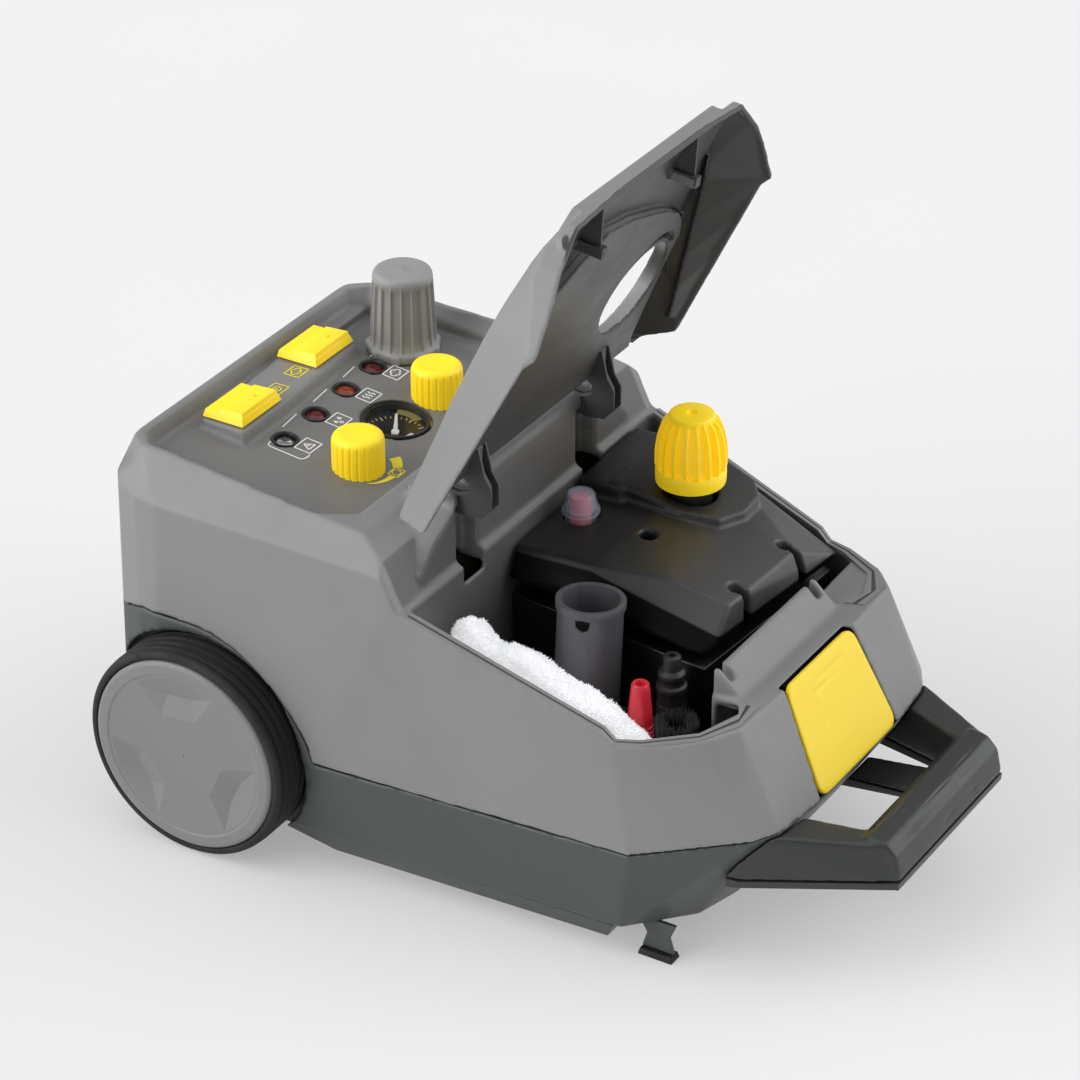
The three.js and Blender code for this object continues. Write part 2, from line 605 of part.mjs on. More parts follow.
const steamNozzle = () => turned([
  [0, 55.4], [8.6, 55.4], [8.6, 126], [8, 127], [8, 134], [9, 135], [9, 138], [7, 139], [7, 142], [8, 143], [8, 146],
  [5.4, 148], [5, 156], [2.4, 157], [2.4, 130], [0, 130],
], 16);

const roundBrush = () => turned([
  [0, 55.4], [10, 55.4], [10, 116], [11.5, 118], [12.6, 137], [6, 137], [5, 125], [0, 125],
], 28);

function terryCloth() {
  return hull([
    [-118, -148, 120], [-84, -148, 120], [-118, -150, 168], [-92, -150, 160], [-104, -146, 170],
    [-116, -200, 165], [-80, -200, 120], [-84, -200, 158], [-116, -200, 118],
    [-112, -256, 138], [-84, -262, 108], [-86, -262, 138], [-110, -258, 108], [-98, -276, 110], [-98, -276, 130],
  ]);
}

// ---------- feet ----------
function footBracket(side) {
  const plate = prismX([[-268, 24 - 0.4], [-292, 24 - 0.4], [-288, 14], [-291, 4.4], [-271, 4.4], [-274, 14]], 0, 3);
  return plate.translate([side > 0 ? 104 : -107, 0, 0]);
}

function footPad(side) {
  const pad = hull([[-5, -292, 0], [5, -292, 0], [-5, -270, 0], [5, -270, 0], [-4, -291, 4], [4, -291, 4],
    [-4, -271, 4], [4, -271, 4]]);
  return pad.translate([side * 105.5, 0, 0]);
}

// ---------- assembly ----------
const group = new THREE.Group();
const machine = new THREE.Group();
machine.position.y = CENTRE_Y;
group.add(machine);

function add(name, made, look, parent = machine) {
  const mesh = new THREE.Mesh(geometryOf(made), new THREE.MeshStandardMaterial(look));
  mesh.name = name;
  parent.add(mesh);
  return mesh;
}

add('lower_base', lowerBase(), BASE_GREY);
add('bottom_pan', bottomPan(), BASE_GREY);
add('upper_casing', upperCasing(), GREY);

const lidPivot = new THREE.Group();
lidPivot.position.set(0, HINGE[0], HINGE[1]);
lidPivot.rotation.x = THREE.MathUtils.degToRad(OPEN_ANGLE);
machine.add(lidPivot);
add('lid', lidSolid().translate([0, -HINGE[0], -HINGE[1]]), GREY, lidPivot);

add('front_handle', frontHandle(69.5, 110), BLACK);
add('handle_under_strip', frontHandle(50, 69.1), BLACK);
add('latch_pad', latchPad(), YELLOW);

[['left', -1], ['right', 1]].forEach(([word, side]) => {
  const pin = rod(PIN_R, side * ARM_X - 8, side * ARM_X + 8, 16);
  add(`hinge_pin_${word}`, layAlongX(pin, 1, HINGE[0], HINGE[1]), STEEL);
  add(`wheel_hub_${word}`, layAlongX(wheelHub(), side, 0, AXLE_Z), BLACK);
  add(`tyre_${word}`, layAlongX(tyre(), side, 0, AXLE_Z), RUBBER);
  add(`hub_cap_${word}`, layAlongX(hubCap(), side, 0, AXLE_Z), LIGHT_GREY);
  add(`axle_clip_${word}`, layAlongX(axleClip(), side, 0, AXLE_Z), STEEL);
  add(`foot_bracket_${word}`, footBracket(side), BASE_GREY);
  add(`foot_pad_${word}`, footPad(side), RUBBER);
});
add('axle', layAlongX(rod(AXLE_R, -149, 149, 32), 1, 0, AXLE_Z), STEEL);

add('water_tank', tank(), GLOSS_BLACK);
add('tank_cover', tankCover(), GLOSS_BLACK);
add('filler_neck', fillerNeck(), BLACK);
add('safety_cap', ribbedCap(CAP, CAP_H, 19.6, 15.6, 20, 28), YELLOW);
add('reset_dome', resetDome(), CLEAR);
add('reset_button', turned([[0, 168], [5, 168], [6, 174], [6, 184.6], [5.6, 193.6], [0, 193.6]], 20, ...BUTTON), RED);

add('storage_tray', storageTray(), BASE_GREY);
add('extension_tube', extensionTube().rotate([0, 4, 0]).translate([-62, -203, 0]), BASE_GREY);
add('red_nozzle', redNozzle().translate([-74, -249, 0]), RED);
add('steam_nozzle', steamNozzle().translate([-48, -254, 0]), BLACK);
add('round_brush', roundBrush().translate([-74, -272.4, 0]), BLACK);
add('terry_cloth', terryCloth(), WHITE);

ROCKERS.forEach(([x, y], i) => {
  const made = rocker().translate([x, y, 228.4]);
  add(['power_rocker', 'vapour_rocker'][i], made, YELLOW);
});
KNOBS.forEach(([x, y], i) => {
  add(['steam_knob', 'suction_knob'][i], knob().translate([x, y, panelZ(y) + 1.4]), YELLOW);
});
LAMPS.forEach(([x, y], i) => {
  add(`lamp_${i + 1}`, lampLens().translate([x, y, panelZ(y) - 1.2]), [CLEAR, RED, AMBER, RED][i]);
});
const gaugeAt = (made) => made.rotate([6.05, 0, 0]).translate([GAUGE[0], GAUGE[1], panelZ(GAUGE[1])]);
add('gauge_body', gaugeAt(gaugeBody()), GLOSS_BLACK);
add('gauge_needle', gaugeAt(gaugeNeedle()), WHITE);
add('gauge_lens', gaugeAt(gaugeLens()), CLEAR);
add('rear_cap', ribbedCap(REAR_CAP, 53, 21.5, 15.6, 18, 28), LIGHT_GREY);
add('rear_neck', rearNeck(), BLACK);
add('fresh_water_tank', freshTank(), WHITE);

add('boiler', boiler(), STEEL);
add('heating_element', heatingElement(), BRASS);
add('thermostat', thermostat(), BLACK);
add('pressure_switch', pressureSwitch(), BRASS);
add('pump', pump(), BLACK);
add('solenoid_valve', solenoidValve(), BRASS);
add('control_board', controlBoard(), BOARD_GREEN);
add('cable_gland', cableGland(), BLACK);
add('steam_socket', steamSocket(), BLACK);

export default group;
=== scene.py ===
import math
import random

import bpy
import bmesh
from mathutils import Matrix, Vector
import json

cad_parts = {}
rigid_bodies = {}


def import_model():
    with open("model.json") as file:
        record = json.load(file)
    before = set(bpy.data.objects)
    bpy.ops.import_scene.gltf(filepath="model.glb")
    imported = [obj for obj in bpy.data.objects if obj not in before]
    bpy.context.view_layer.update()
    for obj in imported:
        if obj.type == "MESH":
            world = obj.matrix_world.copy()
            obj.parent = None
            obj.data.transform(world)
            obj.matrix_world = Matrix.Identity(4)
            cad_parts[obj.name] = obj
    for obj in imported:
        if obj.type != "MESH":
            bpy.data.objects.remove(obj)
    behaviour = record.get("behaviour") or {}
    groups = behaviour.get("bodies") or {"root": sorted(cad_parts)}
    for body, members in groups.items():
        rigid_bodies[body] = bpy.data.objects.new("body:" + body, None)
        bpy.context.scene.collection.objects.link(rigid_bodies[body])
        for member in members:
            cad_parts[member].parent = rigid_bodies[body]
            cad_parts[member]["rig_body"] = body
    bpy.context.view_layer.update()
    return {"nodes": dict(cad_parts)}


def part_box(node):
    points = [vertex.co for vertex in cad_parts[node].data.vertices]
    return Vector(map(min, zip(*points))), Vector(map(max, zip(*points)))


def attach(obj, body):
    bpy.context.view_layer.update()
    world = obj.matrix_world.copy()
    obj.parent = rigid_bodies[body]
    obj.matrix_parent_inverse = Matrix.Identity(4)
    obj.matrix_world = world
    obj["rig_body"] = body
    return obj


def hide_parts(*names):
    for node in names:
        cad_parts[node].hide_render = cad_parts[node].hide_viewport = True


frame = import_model()
nodes = frame["nodes"]

# Lengths below are millimetres from the wheel axle, which is AXLE_Y along the part's +Y.
AXLE_Y = (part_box("axle")[0][1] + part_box("axle")[1][1]) * 500
WHEEL_Z = 66
PANEL_LEVEL, PANEL_SLOPE = 217, 0.106
LID_OPEN = math.radians(-81.8)
ARM_X = 66


def metres(x, y, z):
    return Vector((x, y + AXLE_Y, z)) / 1000


def centre(node):
    low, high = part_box(node)
    return [(low[i] + high[i]) * 500 - (AXLE_Y if i == 1 else 0) for i in range(3)]


def panel_z(y):
    """Height of the sloping control panel."""
    return PANEL_LEVEL + PANEL_SLOPE * (y - 2)


# ---------- materials ----------
class Nodes:
    """A short way to write a node tree."""

    def __init__(self, name):
        self.material = bpy.data.materials.new(name)
        self.material.use_nodes = True
        self.tree = self.material.node_tree
        self.shader = self.tree.nodes["Principled BSDF"]

    def feed(self, socket, value):
        """Gives an input a link or a plain value."""
        if hasattr(value, "is_output"):
            self.tree.links.new(value, socket)
        else:
            socket.default_value = value

    def add(self, kind, values=None, **properties):
        node = self.tree.nodes.new(kind)
        for key, value in properties.items():
            setattr(node, key, value)
        for key, value in (values or {}).items():
            self.feed(node.inputs[key], value)
        return node.outputs[0]

    def set(self, **values):
        for key, value in values.items():
            self.feed(self.shader.inputs[key.replace("_", " ")], value)

    def place(self):
        return self.tree.nodes.new("ShaderNodeTexCoord").outputs["Object"]

    def split(self):
        """The place's x, y and z, in metres."""
        parts = self.tree.nodes.new("ShaderNodeSeparateXYZ")
        self.tree.links.new(self.place(), parts.inputs[0])
        return parts.outputs

    def noise(self, scale, detail=3, rough=0.5, vector=None):
        return self.add(
            "ShaderNodeTexNoise",
            {"Vector": vector or self.place(), "Scale": scale, "Detail": detail, "Roughness": rough},
        )

    def ramp(self, value, low, high, to_low, to_high):
        return self.add(
            "ShaderNodeMapRange",
            {0: value, 1: low, 2: high, 3: to_low, 4: to_high},
            clamp=True,
        )

    def maths(self, kind, a, b=0.0):
        return self.add("ShaderNodeMath", {0: a, 1: b}, operation=kind)

    def product(self, result, *factors):
        for factor in factors:
            result = self.maths("MULTIPLY", result, factor)
        return result

    def mix(self, factor, a, b):
        node = self.tree.nodes.new("ShaderNodeMix")
        node.data_type = "RGBA"
        for index, value in ((0, factor), (6, a), (7, b)):
            self.feed(node.inputs[index], value)
        return node.outputs[2]

    def bump(self, height, strength, distance, normal=None):
        values = {"Height": height, "Strength": strength, "Distance": distance}
        if normal:
            values["Normal"] = normal
        return self.add("ShaderNodeBump", values)


def grey(value, alpha=1.0):
    """Linear colour from an 0-255 screen value, or three of them."""
    parts = value if isinstance(value, tuple) else (value, value, value)
    linear = [((v / 255 + 0.055) / 1.055) ** 2.4 if v > 10 else v / 255 / 12.92 for v in parts]
    return (*linear, alpha)


def shade(base, factor, lift=0.0):
    """The colour made darker or lighter."""
    return tuple(min(1, c * factor + lift) for c in base[:3]) + (1,)


def plastic(name, colour, rough=0.5, grain=1.0, tint=0.06, wear=0.12, panel=None, painted_shade=None, painted_glow=None):
    """Moulded plastic: spark-eroded grain, faint flow marks, scuffs, and edges rubbed lighter."""
    n = Nodes(name)
    flow = n.noise(9, 4, 0.6)
    base = grey(colour)
    colour_now = n.mix(n.ramp(flow, 0.3, 0.7, 0, 1), shade(base, 1 - tint), shade(base, 1 + tint))
    if panel:
        colour_now = n.mix(panel(n), colour_now, shade(base, 0.58))
    # Optional painted shade: a mask, and the darker grey it lays on the colour where shade falls.
    if painted_shade:
        colour_now = n.mix(painted_shade[0](n), colour_now, grey(painted_shade[1]))
    edge = n.tree.nodes.new("ShaderNodeNewGeometry").outputs["Pointiness"]
    worn = n.maths("MULTIPLY", n.ramp(edge, 0.52, 0.62, 0, wear), n.ramp(n.noise(60, 5), 0.35, 0.7, 0.3, 1))
    n.set(Base_Color=n.mix(worn, colour_now, shade(base, 1.7, 0.04)))
    scuff = n.noise(45, 6, 0.65)
    n.set(Roughness=n.ramp(scuff, 0.3, 0.75, rough - 0.05, rough + 0.09))
    erosion = n.noise(1500, 2, 0.6)
    orange_peel = n.noise(220, 2, 0.5)
    first = n.bump(orange_peel, 0.05 * grain, 0.0006)
    n.set(Normal=n.bump(erosion, 0.16 * grain, 0.0003, first))
    # Painted light: emission makes the plastic shine though it is no lamp.
    if painted_glow:
        n.set(Emission_Color=(*painted_glow[:3], 1), Emission_Strength=painted_glow[3])
    return n.material


def rubber(name, colour, rough=0.72):
    n = Nodes(name)
    dust = n.ramp(n.noise(30, 6, 0.7), 0.45, 0.75, 0, 0.5)
    base = grey(colour)
    n.set(Base_Color=n.mix(dust, base, shade(base, 1.8, 0.004)))
    n.set(Roughness=n.ramp(n.noise(80, 4), 0.3, 0.7, rough - 0.08, rough + 0.1))
    n.set(Normal=n.bump(n.noise(900, 3), 0.3, 0.0004))
    return n.material


def metal(name, colour, rough=0.3, brushed=0.0):
    n = Nodes(name)
    streak = n.add("ShaderNodeMapping", {"Vector": n.place(), "Scale": (4, 4, 160)})
    mark = n.noise(18, 5, 0.6, streak if brushed else None)
    base = grey(colour)
    n.set(Base_Color=n.mix(n.ramp(mark, 0.3, 0.7, 0, 1), base, shade(base, 0.86)))
    n.set(Metallic=1.0, Roughness=n.ramp(n.noise(70, 5), 0.3, 0.7, rough - 0.06, rough + 0.12))
    n.set(Normal=n.bump(mark, 0.15, 0.0003))
    return n.material


def thin_clear(name, colour, alpha):
    """A thin clear moulding: mostly see-through, with the shine kept."""
    n = Nodes(name)
    haze = n.noise(70, 4, 0.6)
    n.set(Base_Color=n.mix(n.ramp(haze, 0.35, 0.7, 0, 1), grey(colour), grey(tuple(c - 12 for c in colour))))
    n.set(Alpha=n.ramp(haze, 0.3, 0.7, alpha, alpha + 0.06), Roughness=n.ramp(haze, 0.3, 0.7, 0.04, 0.1))
    return n.material


def clear(name, colour, rough=0.06, see=1.0):
    """Tinted transparent plastic with a little haze."""
    n = Nodes(name)
    base = grey(colour)
    haze = n.noise(120, 3)
    n.set(Base_Color=n.mix(n.ramp(haze, 0.35, 0.7, 0, 1), base, shade(base, 0.9)))
    n.set(Roughness=n.ramp(haze, 0.3, 0.7, rough, rough + 0.05), IOR=1.49, Transmission_Weight=see)
    n.set(Normal=n.bump(n.noise(400, 2), 0.04, 0.0002))
    return n.material


def terry(name):
    """White cotton pile: soft, slightly uneven, with sheen."""
    n = Nodes(name)
    tone = n.mix(n.ramp(n.noise(260, 4, 0.7), 0.3, 0.7, 0, 1), grey((238, 239, 243)), grey((252, 252, 253)))
    n.set(Base_Color=tone, Roughness=0.95, Sheen_Weight=0.35, Specular_IOR_Level=0.1)
    n.set(Normal=n.bump(n.noise(1400, 3), 0.5, 0.0006), Subsurface_Weight=0.12, Subsurface_Scale=0.003)
    # Painted light: the cloth emits a little light of its own, to look brighter in the shaded bay.
    n.set(Emission_Color=(1, 1, 1, 1), Emission_Strength=0.24)
    return n.material


def in_tray(n):
    """1 on the control panel's tray, 0 outside it."""
    x, y, z = n.split()
    height = n.maths("ADD", z, n.maths("MULTIPLY", y, -PANEL_SLOPE))
    level = (PANEL_LEVEL - PANEL_SLOPE * (AXLE_Y + 2)) / 1000
    flat = n.ramp(height, level - 0.004, level + 0.006, 1, 0)
    tall = n.ramp(z, 0.2030, 0.2036, 0, 1)
    return n.product(flat, tall, n.ramp(n.maths("ABSOLUTE", x), 0.117, 0.124, 1, 0))


def cover_tone_and_painted_light(n):
    """Parts of the tank cover: 0 black below its flange line, rising to 1 at its front, which is painted
    paler as light.
    """
    x, y, z = n.split()
    along = n.maths("ADD", y, -AXLE_Y / 1000)
    drop = n.maths("MULTIPLY", n.maths("MINIMUM", n.maths("ADD", along, 0.187), 0.0), 0.266)
    above = n.ramp(n.maths("SUBTRACT", z, n.maths("ADD", drop, 0.1765)), -0.0008, 0.0004, 0, 1)
    # Painted light: the front is made paler, as if lit like the top.
    front = n.ramp(along, -0.262, -0.185, 1, 0)
    return n.product(above, n.maths("ADD", n.maths("MULTIPLY", front, 0.85), 0.15))


def cover_plastic():
    """Dark satin plastic, black under the flange, and painted paler towards the front as light."""
    n = Nodes("cover_plastic")
    tone = cover_tone_and_painted_light(n)
    mottle = n.ramp(n.noise(40, 5, 0.6), 0.3, 0.7, 0.9, 1.1)
    n.set(Base_Color=n.mix(n.maths("MULTIPLY", tone, mottle), grey(9), grey(68)))
    n.set(Roughness=n.ramp(n.noise(60, 5), 0.3, 0.75, 0.34, 0.42))
    n.set(Specular_IOR_Level=n.ramp(tone, 0, 0.15, 0.08, 0.5))
    n.set(Normal=n.bump(n.noise(1500, 2, 0.6), 0.1, 0.0003))
    return n.material


def facing(n, aim):
    """How far the surface, in the piece's own frame, faces the way given."""
    normal = n.tree.nodes.new("ShaderNodeTexCoord").outputs["Normal"]
    dot = n.tree.nodes.new("ShaderNodeVectorMath")
    dot.operation = "DOT_PRODUCT"
    n.tree.links.new(normal, dot.inputs[0])
    dot.inputs[1].default_value = aim
    return dot.outputs["Value"]


def sides(n):
    """Distance from the machine's middle, how far the surface faces away from it, and the place."""
    place = n.split()
    outward = n.product(n.maths("SIGN", place[0]), facing(n, (1, 0, 0)))
    return n.maths("ABSOLUTE", place[0]), outward, place


def bay_painted_shade(n):
    """Painted shade: 1 on the storage bay's inner walls and the upright wall behind it, 0 elsewhere."""
    across, outward, place = sides(n)
    along = n.maths("ADD", place[1], -AXLE_Y / 1000)
    wall = n.product(n.ramp(along, -0.1425, -0.1415, 0, 1), n.ramp(along, -0.1175, -0.1165, 1, 0),
                     n.ramp(facing(n, (0, -1, 0)), 0.5, 0.75, 0, 1), n.ramp(across, 0.131, 0.133, 1, 0))
    brow = n.product(n.ramp(along, -0.135, -0.134, 0, 1), n.ramp(along, -0.108, -0.1, 1, 0),
                     n.ramp(place[2], 0.2285, 0.2315, 0, 1), n.ramp(across, 0.0765, 0.0775, 1, 0))
    inside = n.product(n.ramp(along, -0.135, -0.1335, 1, 0), n.ramp(outward, -0.75, -0.5, 1, 0),
                       n.ramp(across, 0.096, 0.098, 0, 1), n.ramp(across, 0.1325, 0.134, 1, 0))
    return n.maths("MAXIMUM", n.maths("MAXIMUM", wall, n.product(brow, 0.8)), inside)


def lid_painted_shade(n):
    """Painted shade: 1 on the lid's underside and the insides of its wings, 0 on its top and outer faces."""
    across, outward, place = sides(n)
    edge = n.ramp(across, 0.098, 0.102, 0, 1)
    below = n.ramp(facing(n, (0, math.sin(LID_OPEN), -math.cos(LID_OPEN))), 0.1, 0.25, 0, 1)
    outer = n.product(edge, n.ramp(outward, 0.2, 0.35, 0, 1))
    inner = n.product(edge, n.ramp(outward, -0.35, -0.2, 1, 0))
    return n.maths("MAXIMUM", n.product(below, n.maths("SUBTRACT", 1.0, outer)), inner)


TERRY = terry("terry_pile")
COVER = cover_plastic()
# The casing is painted darker as shade on the bay's inner walls and the wall behind them.
CASING = plastic("casing_plastic", 127, 0.46, panel=in_tray, painted_shade=(bay_painted_shade, 86))
# The lid is painted darker as shade on its downward-facing underside and the insides of its wings.
LID_PLASTIC = plastic("lid_plastic", 127, 0.46, painted_shade=(lid_painted_shade, 64))
CASING_PLAIN = plastic("rim_plastic", 127, 0.46)
# A grey painted as shade, for the ribs under the lid, the strip in the bay rim's groove and the latch pad's
# back.
UNDERSIDE_SHADE = plastic("lid_underside_painted_shade", 66, 0.5)
BASE = plastic("base_plastic", (66, 70, 69), 0.42)
BLACK = plastic("black_plastic", (34, 35, 35), 0.42)
GLOSS = plastic("tank_plastic", (17, 18, 18), 0.2, grain=0.35, wear=0.05)
# The yellow and red plastics are given painted light as emission.
YELLOW = plastic("yellow_plastic", (255, 218, 26), 0.36, grain=0.5, tint=0.03, wear=0.05,
                 painted_glow=(1, 0.7, 0.02, 0.2))
PAD_YELLOW = plastic("pad_yellow", (246, 214, 34), 0.36, grain=0.5, tint=0.03, wear=0.05)
PALE = plastic("hub_plastic", 120, 0.42)
CAP_GREY = plastic("cap_plastic", 142, 0.46)
DARK_GREY = plastic("tube_plastic", (82, 82, 86), 0.34)
RED = plastic("red_plastic", (196, 40, 56), 0.28, grain=0.3, painted_glow=(1, 0.03, 0.05, 0.06))
WHITE = plastic("white_plastic", (236, 236, 232), 0.4, wear=0)
RUBBER = rubber("tyre_rubber", (18, 18, 19))
HANDLE = plastic("handle_plastic", (44, 46, 45), 0.36)
STEEL = metal("plain_steel", 178, 0.28, 1)
ALUMINIUM = metal("cast_aluminium", 190, 0.45)
BRASS = metal("turned_brass", (196, 160, 84), 0.3)
BOARD = plastic("circuit_board", (30, 92, 52), 0.35)
LENS_CLEAR = clear("clear_lens", (236, 240, 244))
LENS_RED = clear("red_lens", (150, 10, 22), see=0.75)
GLASS_THIN = thin_clear("gauge_glass", (40, 42, 46), 0.07)
DOME_CLEAR = thin_clear("dome_clear", (206, 216, 236), 0.2)
SECTOR = plastic("gauge_sector", (150, 140, 84), 0.4, grain=0.3, wear=0)
LENS_AMBER = clear("amber_lens", (206, 84, 16), see=0.75)
BRISTLE = plastic("bristle_nylon", (16, 16, 18), 0.4, wear=0)
PRINT_WHITE = plastic("white_print", (228, 228, 226), 0.5, grain=0.3, wear=0)
PRINT_YELLOW = plastic("yellow_print", (238, 222, 40), 0.5, grain=0.3, wear=0)


# ---------- mesh helpers ----------
def finish_piece(name, data, material, body, replaces=(), smooth=True):
    """Makes the piece from its mesh, and joins it to a CAD body."""
    data.name = name
    data.materials.clear()
    data.materials.append(material)
    for polygon in data.polygons:
        polygon.use_smooth = smooth
    obj = bpy.data.objects.new(name, data)
    bpy.context.scene.collection.objects.link(obj)
    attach(obj, body)
    if replaces:
        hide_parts(*replaces)
    return obj


def mesh_of(verts, faces):
    data = bpy.data.meshes.new("made")
    data.from_pydata([tuple(v) for v in verts], [], faces)
    data.validate()
    return data


def to_mesh(bm):
    """The bmesh as a mesh; the bmesh is freed."""
    data = bpy.data.meshes.new("made")
    bm.to_mesh(data)
    bm.free()
    return data


def merged(parts):
    """One mesh made from several, which are removed."""
    bm = bmesh.new()
    for part in parts:
        bm.from_mesh(part)
        bpy.data.meshes.remove(part)
    return to_mesh(bm)


def loft(rings):
    """A closed mesh through rings of points in millimetres, all with the same count."""
    bm = bmesh.new()
    made = [[bm.verts.new(metres(*point)) for point in ring] for ring in rings]
    count = len(made[0])
    for a, b in zip(made, made[1:]):
        for k in range(count):
            bm.faces.new((a[k], a[(k + 1) % count], b[(k + 1) % count], b[k]))
    bm.faces.new(made[0][::-1])
    bm.faces.new(made[-1])
    bmesh.ops.recalc_face_normals(bm, faces=bm.faces)
    return to_mesh(bm)


def joined(parts):
    verts, faces = [], []
    for more_verts, more_faces in parts:
        start = len(verts)
        verts += more_verts
        faces += [[i + start for i in face] for face in more_faces]
    return verts, faces


def lathe(profile, at, segments=96, radius=None, axis="z"):
    """A closed profile of (r, height) turned about an axis through at; radius(r, h, angle) may shape it."""
    verts, faces = [], []
    count = len(profile)
    for s in range(segments):
        angle = 2 * math.pi * s / segments
        for r, h in profile:
            r_now = radius(r, h, angle) if radius else r
            a, b = r_now * math.cos(angle), r_now * math.sin(angle)
            offset = (h, a, b) if axis == "x" else (a, b, h)
            verts.append(metres(at[0] + offset[0], at[1] + offset[1], at[2] + offset[2]))
    for s in range(segments):
        following = (s + 1) % segments
        for i in range(count):
            j = (i + 1) % count
            faces.append([s * count + i, following * count + i, following * count + j, s * count + j])
    return verts, faces


def clean(data):
    """Welds seams and poles, and turns every face outwards."""
    bm = bmesh.new()
    bm.from_mesh(data)
    bmesh.ops.remove_doubles(bm, verts=bm.verts, dist=2e-6)
    bmesh.ops.dissolve_degenerate(bm, edges=bm.edges, dist=1e-7)
    bmesh.ops.recalc_face_normals(bm, faces=bm.faces)
    bm.to_mesh(data)
    bm.free()
    return data


def turned(profile, at, segments, sharp, radius=None, axis="z"):
    """A lathed mesh whose edges over so many degrees stay sharp."""
    data = clean(mesh_of(*lathe(profile, at, segments, radius, axis)))
    data.set_sharp_from_angle(angle=math.radians(sharp))
    return data


def evaluated(obj):
    """The mesh with its modifiers applied; the object is removed."""
    bpy.context.view_layer.update()
    graph = bpy.context.evaluated_depsgraph_get()
    data = bpy.data.meshes.new_from_object(obj.evaluated_get(graph))
    bpy.data.objects.remove(obj)
    return data


def loose(name, data):
    obj = bpy.data.objects.new(name, data)
    bpy.context.scene.collection.objects.link(obj)
    return obj


def between(rows, value):
    """Straight-line value from (place, size) rows."""
    for (low, a), (high, b) in zip(rows, rows[1:]):
        if low <= value <= high:
            return a + (b - a) * (value - low) / (high - low)
    return rows[0][1] if value < rows[0][0] else rows[-1][1]


def hull(points):
    """A closed convex mesh round the points, in millimetres."""
    bm = bmesh.new()
    for point in points:
        bm.verts.new(metres(*point))
    bmesh.ops.convex_hull(bm, input=bm.verts)
    for vert in [v for v in bm.verts if not v.link_faces]:
        bm.verts.remove(vert)
    return to_mesh(bm)


def block(low, high):
    return hull([(x, y, z) for x in (low[0], high[0]) for y in (low[1], high[1]) for z in (low[2], high[2])])


def cut_out(data, cuts):
    """The mesh with each of the cuts taken out of it."""
    work = loose("work", data)
    tools = [loose("cut", cut) for cut in cuts]
    for tool in tools:
        change = work.modifiers.new("cut", "BOOLEAN")
        change.operation = "DIFFERENCE"
        change.solver = "EXACT"
        change.object = tool
    data = evaluated(work)
    for tool in tools:
        bpy.data.objects.remove(tool)
    return data


def skinned(data, voxel, rounding):
    """A work object that remakes the mesh as one even, smoothed skin."""
    work = loose("work", data)
    skin = work.modifiers.new("skin", "REMESH")
    skin.mode = "VOXEL"
    skin.voxel_size = voxel / 1000
    even = work.modifiers.new("even", "SMOOTH")
    even.factor = 0.5
    even.iterations = rounding
    return work


def moulded(node, voxel, rounding, material, cuts=(), adds=(), keep=0.35):
    """The CAD solid with cuts and ribs, as one skin whose edges are rounded as a mould's are."""
    data = cut_out(clean(nodes[node].data.copy()), cuts)
    work = skinned(merged([data, *adds]), voxel, rounding)
    fewer = work.modifiers.new("fewer", "DECIMATE")
    fewer.ratio = keep
    body = nodes[node]["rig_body"]
    return finish_piece(node + "_moulding", evaluated(work), material, body, [node])


def bevelled(obj, width, segments, angle):
    """Rounds the edges sharper than angle."""
    bevel = obj.modifiers.new("bevel", "BEVEL")
    bevel.width = width / 1000
    bevel.segments = segments
    bevel.limit_method = "ANGLE"
    bevel.angle_limit = math.radians(angle)
    bevel.harden_normals = True


def edged(node, width, material):
    """Keeps the CAD solid, with its edges rounded by a bevel."""
    obj = nodes[node]
    weld = obj.modifiers.new("weld", "WELD")
    weld.merge_threshold = 2e-6
    flat = obj.modifiers.new("flat", "DECIMATE")
    flat.decimate_type = "DISSOLVE"
    flat.angle_limit = math.radians(1.5)
    bevelled(obj, width, 3, 28)
    obj.data.materials.clear()
    obj.data.materials.append(material)
    for polygon in obj.data.polygons:
        polygon.use_smooth = True
    return obj


# ---------- camera, floor and light ----------
# Each bank of light is its direction, the cosines where it fades in and where it is full, and its strength.
AMBIENT = 0.4
BANKS = (
    ((-0.66, 0.66, 0.38), 0.72, 0.96, 3.1),
    ((0.55, -0.72, 0.45), 0.72, 0.96, 1.9),
    ((0, 0.1, 1), 0.75, 0.97, 0.9),
)


def make_camera():
    camera = bpy.data.objects.new("camera", bpy.data.cameras.new("camera"))
    bpy.context.scene.collection.objects.link(camera)
    azimuth, elevation, distance = math.radians(-58.72), math.radians(30.62), 2.326
    target = metres(-49.4, -170, 204.7)
    level = math.cos(elevation)
    away = Vector((math.sin(azimuth) * level, -math.cos(azimuth) * level, math.sin(elevation)))
    camera.location = target + away * distance
    camera.rotation_euler = away.to_track_quat("Z", "Y").to_euler()
    camera.data.lens = 140.77
    camera.data.sensor_width = 36
    camera.data.clip_end = 60
    bpy.context.scene.camera = camera


